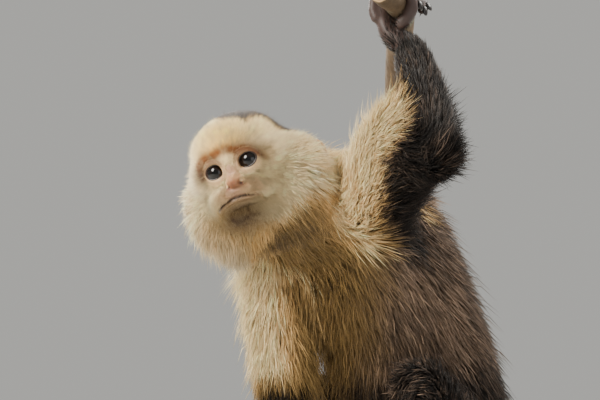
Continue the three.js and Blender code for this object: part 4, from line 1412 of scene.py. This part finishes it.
def growCoat(name, chance, count, wide, lengths, seed, cell, unwrap, slot):
    # tufts where `chance` allows, each a bent three-sided spike along the lie of the coat:
    # roots are drawn by area, and the spike rises so that its tip comes to the coat's depth
    rng = np.random.default_rng(seed)
    total = np.cumsum(skinArea * chance)
    picked = np.searchsorted(total, (np.arange(count) + rng.random(count)) / count * total[-1])
    picked = skinTriangles[np.minimum(picked, len(skinTriangles) - 1)]
    u, v = rng.random(count), rng.random(count)
    flip = u + v > 1
    u, v = np.where(flip, 1 - u, u), np.where(flip, 1 - v, v)
    weights = np.stack([1 - u - v, u, v], 1)[..., None]
    root = (skinPoints[picked] * weights).sum(1)
    out = unit((skinNormals[picked] * weights).sum(1))
    fields = coatAt(root)
    head, depth = fields["head"], fields["depth"]
    spread = rng.normal(size=count)

    length = fields["length"] * np.clip(1 + tufts["lengthSpread"] * rng.normal(size=count), 0.45, 1.7)
    length *= (1 + 0.12 * noise(root, 11, seed)) * np.where(fields["bare"] > 0.5, 0.45, 1)
    length = np.where(head * (fields["fromFace"] < 15) > 0.5, np.minimum(length, 2.4), length)
    stray = (rng.random(count) < tufts["stray"] + tufts["ruffStray"] * fields["ruff"]) * (length > 8)
    upright = np.clip(1 + 0.22 * rng.normal(size=count), 0.4, 1.6) * (1 + 0.5 * stray)
    rising = np.arcsin(np.clip(depth / (0.86 * length), 0.05 + 0.2 * head, 0.8)) * upright
    length *= 1 + 0.25 * stray
    lie = fields["lie"] - out * dot(fields["lie"], out)[:, None]
    loose = 1 - lengthOf(lie)  # where the limb runs straight out of the skin the hair hangs
    hanging = vec(0, 0, -1) + out * out[:, 2:]
    lie = unit(lie + hanging * (1.2 * rise(loose, 0.15, 0.8))[:, None])
    swerve = tufts["swirl"] * noise(root, 17, seed + 1) + tufts["curl"] * rng.normal(size=count)
    lie = tiltedTo(swerve, lie, np.cross(out, lie))
    side = np.cross(out, lie)
    start = tiltedTo(np.clip(rising * 1.35, 0, 1.3), lie, out)
    end = tiltedTo(rising * 0.6, lie, out)
    end[:, 2] -= tufts["droop"] * length / 25
    end = unit(end)

    # tufts of one small cell of the skin lean together into a lock
    warp = np.stack([noise(root, cell * 1.3, seed + k) for k in (2, 3, 4)], 1) * cell * 0.5
    keys = np.floor((root + warp) / cell).astype(np.int64)
    _, lock = np.unique(keys[:, 0] * 1000003 + keys[:, 1] * 1009 + keys[:, 2], return_inverse=True)
    lock = lock.reshape(-1)
    many = np.bincount(lock)[:, None]
    tips = root + length[:, None] * 0.5 * (start + end)
    lockTip = np.stack([np.bincount(lock, tips[:, k]) for k in range(3)], 1) / many
    lockShade = rng.normal(size=len(many))[lock]
    clump = tufts["clump"] * (0.6 + 0.5 * rng.random(count)) * np.minimum(length / 12, 1)
    pull = (lockTip[lock] - tips) * clump[:, None]

    # the middle line of each tuft and the rings round it
    s = np.linspace(0, 1, lengths + 1)[None, :, None] ** 0.9
    way = length[:, None, None] * (start[:, None] * (s - s * s / 2) + end[:, None] * (s * s / 2))
    phase = rng.random(count)[:, None, None] * 6.28
    sway = tufts["wave"] * length[:, None, None] * np.sin(s * 5 + phase) * s
    sunk = np.minimum(0.5, 0.08 * length)[:, None, None]
    line = root[:, None] - out[:, None] * sunk + way + pull[:, None] * s**1.6 + side[:, None] * sway
    forward = unit(np.diff(line, axis=1))
    across = unit(np.cross(forward, out[:, None]))
    up = np.cross(across, forward)
    taper = np.interp(s[0, :-1, 0], (0, 0.3, 0.7, 1), (1, 1, 0.66, 0.2))
    thick = wide * np.clip(1 + 0.25 * spread, 0.5, 1.6)[:, None] * taper
    thick = thick * (0.55 + 0.45 * np.minimum(length / 12, 1))[:, None]
    angles = np.radians([90, 210, 330])
    ring = (
        line[:, :-1, None]
        + across[:, :, None] * (np.cos(angles) * thick[..., None])[..., None]
        + up[:, :, None] * (np.sin(angles) * thick[..., None] * tufts["thin"])[..., None]
    )
    points = np.concatenate([ring.reshape(count, -1, 3), line[:, -1:]], 1)
    each = points.shape[1]
    points = points.reshape(-1, 3)
    faces = (tuftFaces(lengths) + (np.arange(count) * each)[:, None, None]).reshape(-1, 3)

    low, high = coatColours(root, fields, spread * 0.6 + lockShade * 0.5)
    bright = np.clip(1 + 0.07 * spread + (0.05 + 0.06 * head) * lockShade, 0.6, 1.35)[:, None, None]
    along = np.append(np.repeat(s[0, :-1, 0], 3), 1)
    share = along[None, :, None]
    # each tuft is darker towards its root: painted shade deep in the coat
    shade = (0.82 + 0.18 * np.minimum(share * 2.2, 1)) * bright
    colours = ((low[:, None] * (1 - share) + high[:, None] * share) * shade).reshape(-1, 3)
    piece = addPiece(name, (points, outward(points, faces), colours), finishes["coat"], slot)
    addBakeMap(piece, root, unwrap, along)
    print(name, count, "tufts", len(faces), "triangles")


# the coat, piece by piece: which places of the skin grow hair and which piece they belong to
corners = skinPoints[skinTriangles]
skinArea = lengthOf(np.cross(corners[:, 1] - corners[:, 0], corners[:, 2] - corners[:, 0])) / 2
at = coatAt(corners.mean(1))
hx, hy, hz = at["local"].T
onHead = at["head"] > 0.5
openEye = (eyeGap(hx, hz)[0] < 6.9) & (hy < -15)
for sign in (1, -1):
    openEye |= lengthOf(at["local"] - eyeCentre(sign)) < 9.35
_, aboveLip, withinMouth = mouthPlace(hx, hz)
noHair = np.hypot(hx / 1.1, (hz + 12.3) / 1.05) < 6.3
noHair |= (np.abs(aboveLip - 0.5) < 1.6) & (withinMouth > 0.3)
noHair = openEye | noHair & (hy < -30)
furred = np.where(onHead, np.where(noHair, 0, 1 - 0.75 * at["bare"]), at["ratio"] <= 1.3)


def onLimbs(*names):
    # whether each place of the skin belongs to one of the limbs
    return ~onHead & amongLimbs(at["limb"], *names)


def axisOf(start, end):
    # for a piece's bake map: the middle of a limb, its direction and a little over half its length
    a, b = placeOf(start), placeOf(end)
    return (a + b) / 2, unit(b - a), lengthOf(b - a) * 0.75 + 20


front = at["out"][:, 1] < -0.1
ruffPart = onHead * np.maximum(rise(at["ruff"], 0.08, 0.42), rise(-hz, 34, 42))
facePart = onHead * (1 - ruffPart) * rise(-hy, 1, 8) * (1 + 1.2 * rise(at["fromFace"], 40, 24))
crownPart = onHead * (1 - ruffPart) * rise(-hy, 8, 1)
trunkPart = onLimbs("neck", "trunk")
thinHands = np.where(onLimbs(*handLimbs), 0.35 * (at["along"] < 0.85), 1.0)
armParts = [onLimbs("upperArm" + s, "forearm" + s, "hand" + s) * thinHands for s in ("Left", "Right")]
legParts = [onLimbs("thigh" + s, "shin" + s, "foot" + s) * thinHands for s in ("Left", "Right")]
headAxis = (headAt, headTurn @ vec(0, -1, 0), 60.0)
trunkAxis = axisOf("neckBase", "pelvis")
armAxes = axisOf("shoulderLeft", "elbowLeft"), axisOf("shoulderRight", "wristRight")
legAxes = axisOf("kneeLeft", "ankleLeft"), axisOf("kneeRight", "ankleRight")
tailAxis = (vec(45, 30, 210), vec(0, 0, 1), 110.0)
coats = {
    # where on the skin, tufts, half width in millimetres, lengths in a tuft (1 has 4 triangles, 2 have 10),
    # seed, lock size, unwrap, slot
    "coat_face_upper": (facePart * (hz > 1), 42000, 0.22, 1, 1, 2.6, headAxis, "coat_pale"),
    "coat_face_lower": (facePart * (hz <= 1), 44000, 0.22, 1, 11, 2.6, headAxis, "coat_pale"),
    "coat_crown": (crownPart, 20000, 0.34, 1, 2, 3.6, headAxis, "coat_pale"),
    "coat_ruff": (ruffPart, 19800, 0.28, 2, 3, 4.6, headAxis, "coat_pale"),
    "coat_chest": (trunkPart & front, 17000, 0.42, 2, 4, 6, trunkAxis, "coat_body"),
    "coat_back": (trunkPart & ~front, 14500, 0.52, 2, 5, 7, trunkAxis, "coat_body"),
    "coat_arm_left": (armParts[0], 16500, 0.34, 2, 6, 4.4, armAxes[0], "coat_pale"),
    "coat_arm_right": (armParts[1], 14500, 0.4, 2, 7, 5.5, armAxes[1], "coat_pale"),
    "coat_leg_left": (legParts[0], 8000, 0.58, 2, 8, 6, legAxes[0], "coat_dark"),
    "coat_leg_right": (legParts[1], 7500, 0.58, 2, 9, 6, legAxes[1], "coat_dark"),
    "coat_tail": (onLimbs("tail"), 8500, 0.5, 2, 10, 5, tailAxis, "coat_dark"),
}
for name, (where, *settings) in coats.items():
    growCoat(name, furred * where, *settings)


# lights, floor and world

studio = {
    # place, watts, size and colour of each light
    "key": ((-0.55, -2.1, 1.75), 102, 1.1, (1, 0.95, 0.86)),
    "rim": ((0.35, 1.3, 1.9), 60, 0.9, (1, 0.97, 0.92)),
    "edge": ((-2.0, 0.35, 1.3), 60, 0.8, (1, 0.98, 0.94)),
    "fill": ((2.3, -0.6, 0.9), 12, 1.6, (0.92, 0.96, 1)),
}
surround = {"colour": (0.49, 0.485, 0.46, 1), "strength": 0.92}
floorShape = {
    "radius": 6.5, "sides": 96, "dark": (0.60, 0.60, 0.58), "light": (0.66, 0.66, 0.64), "roughness": 0.7,
}


def areaLight(name, at, power, size, colour):
    # a square light that faces the middle of the view
    light = bpy.data.lights.new(name, "AREA")
    light.size = size
    light.energy = power
    light.color = colour
    made = bpy.data.objects.new(name, light)
    towards = np.array(at, float) - view["aim"]
    made.location = at
    pitch = math.acos(towards[2] / lengthOf(towards))
    made.rotation_euler = (pitch, 0, math.atan2(towards[1], towards[0]) + math.pi / 2)
    bpy.context.scene.collection.objects.link(made)


for name, values in studio.items():
    areaLight(name, *values)
world = bpy.data.worlds.new("studio")
bpy.context.scene.world = world
world.use_nodes = True
background = world.node_tree.nodes["Background"]
background.inputs["Color"].default_value = surround["colour"]
background.inputs["Strength"].default_value = surround["strength"]

# a round floor: one middle point and a rim
number = np.arange(floorShape["sides"])
angle = np.linspace(0, 2 * math.pi, floorShape["sides"], endpoint=False)
rim = np.column_stack([np.cos(angle), np.sin(angle), 0 * angle]) * floorShape["radius"]
triangles = np.column_stack([0 * number, number + 1, (number + 1) % floorShape["sides"] + 1])
floor = addMesh("floor", np.vstack([vec(0, 0, 0), rim]), triangles)
f = Finish("floor")
colour = f.ramp(f.noise(3, 4), (0.3, floorShape["dark"]), (0.7, floorShape["light"]))
floor.data.materials.append(f.done({"Base Color": colour, "Roughness": floorShape["roughness"]}))
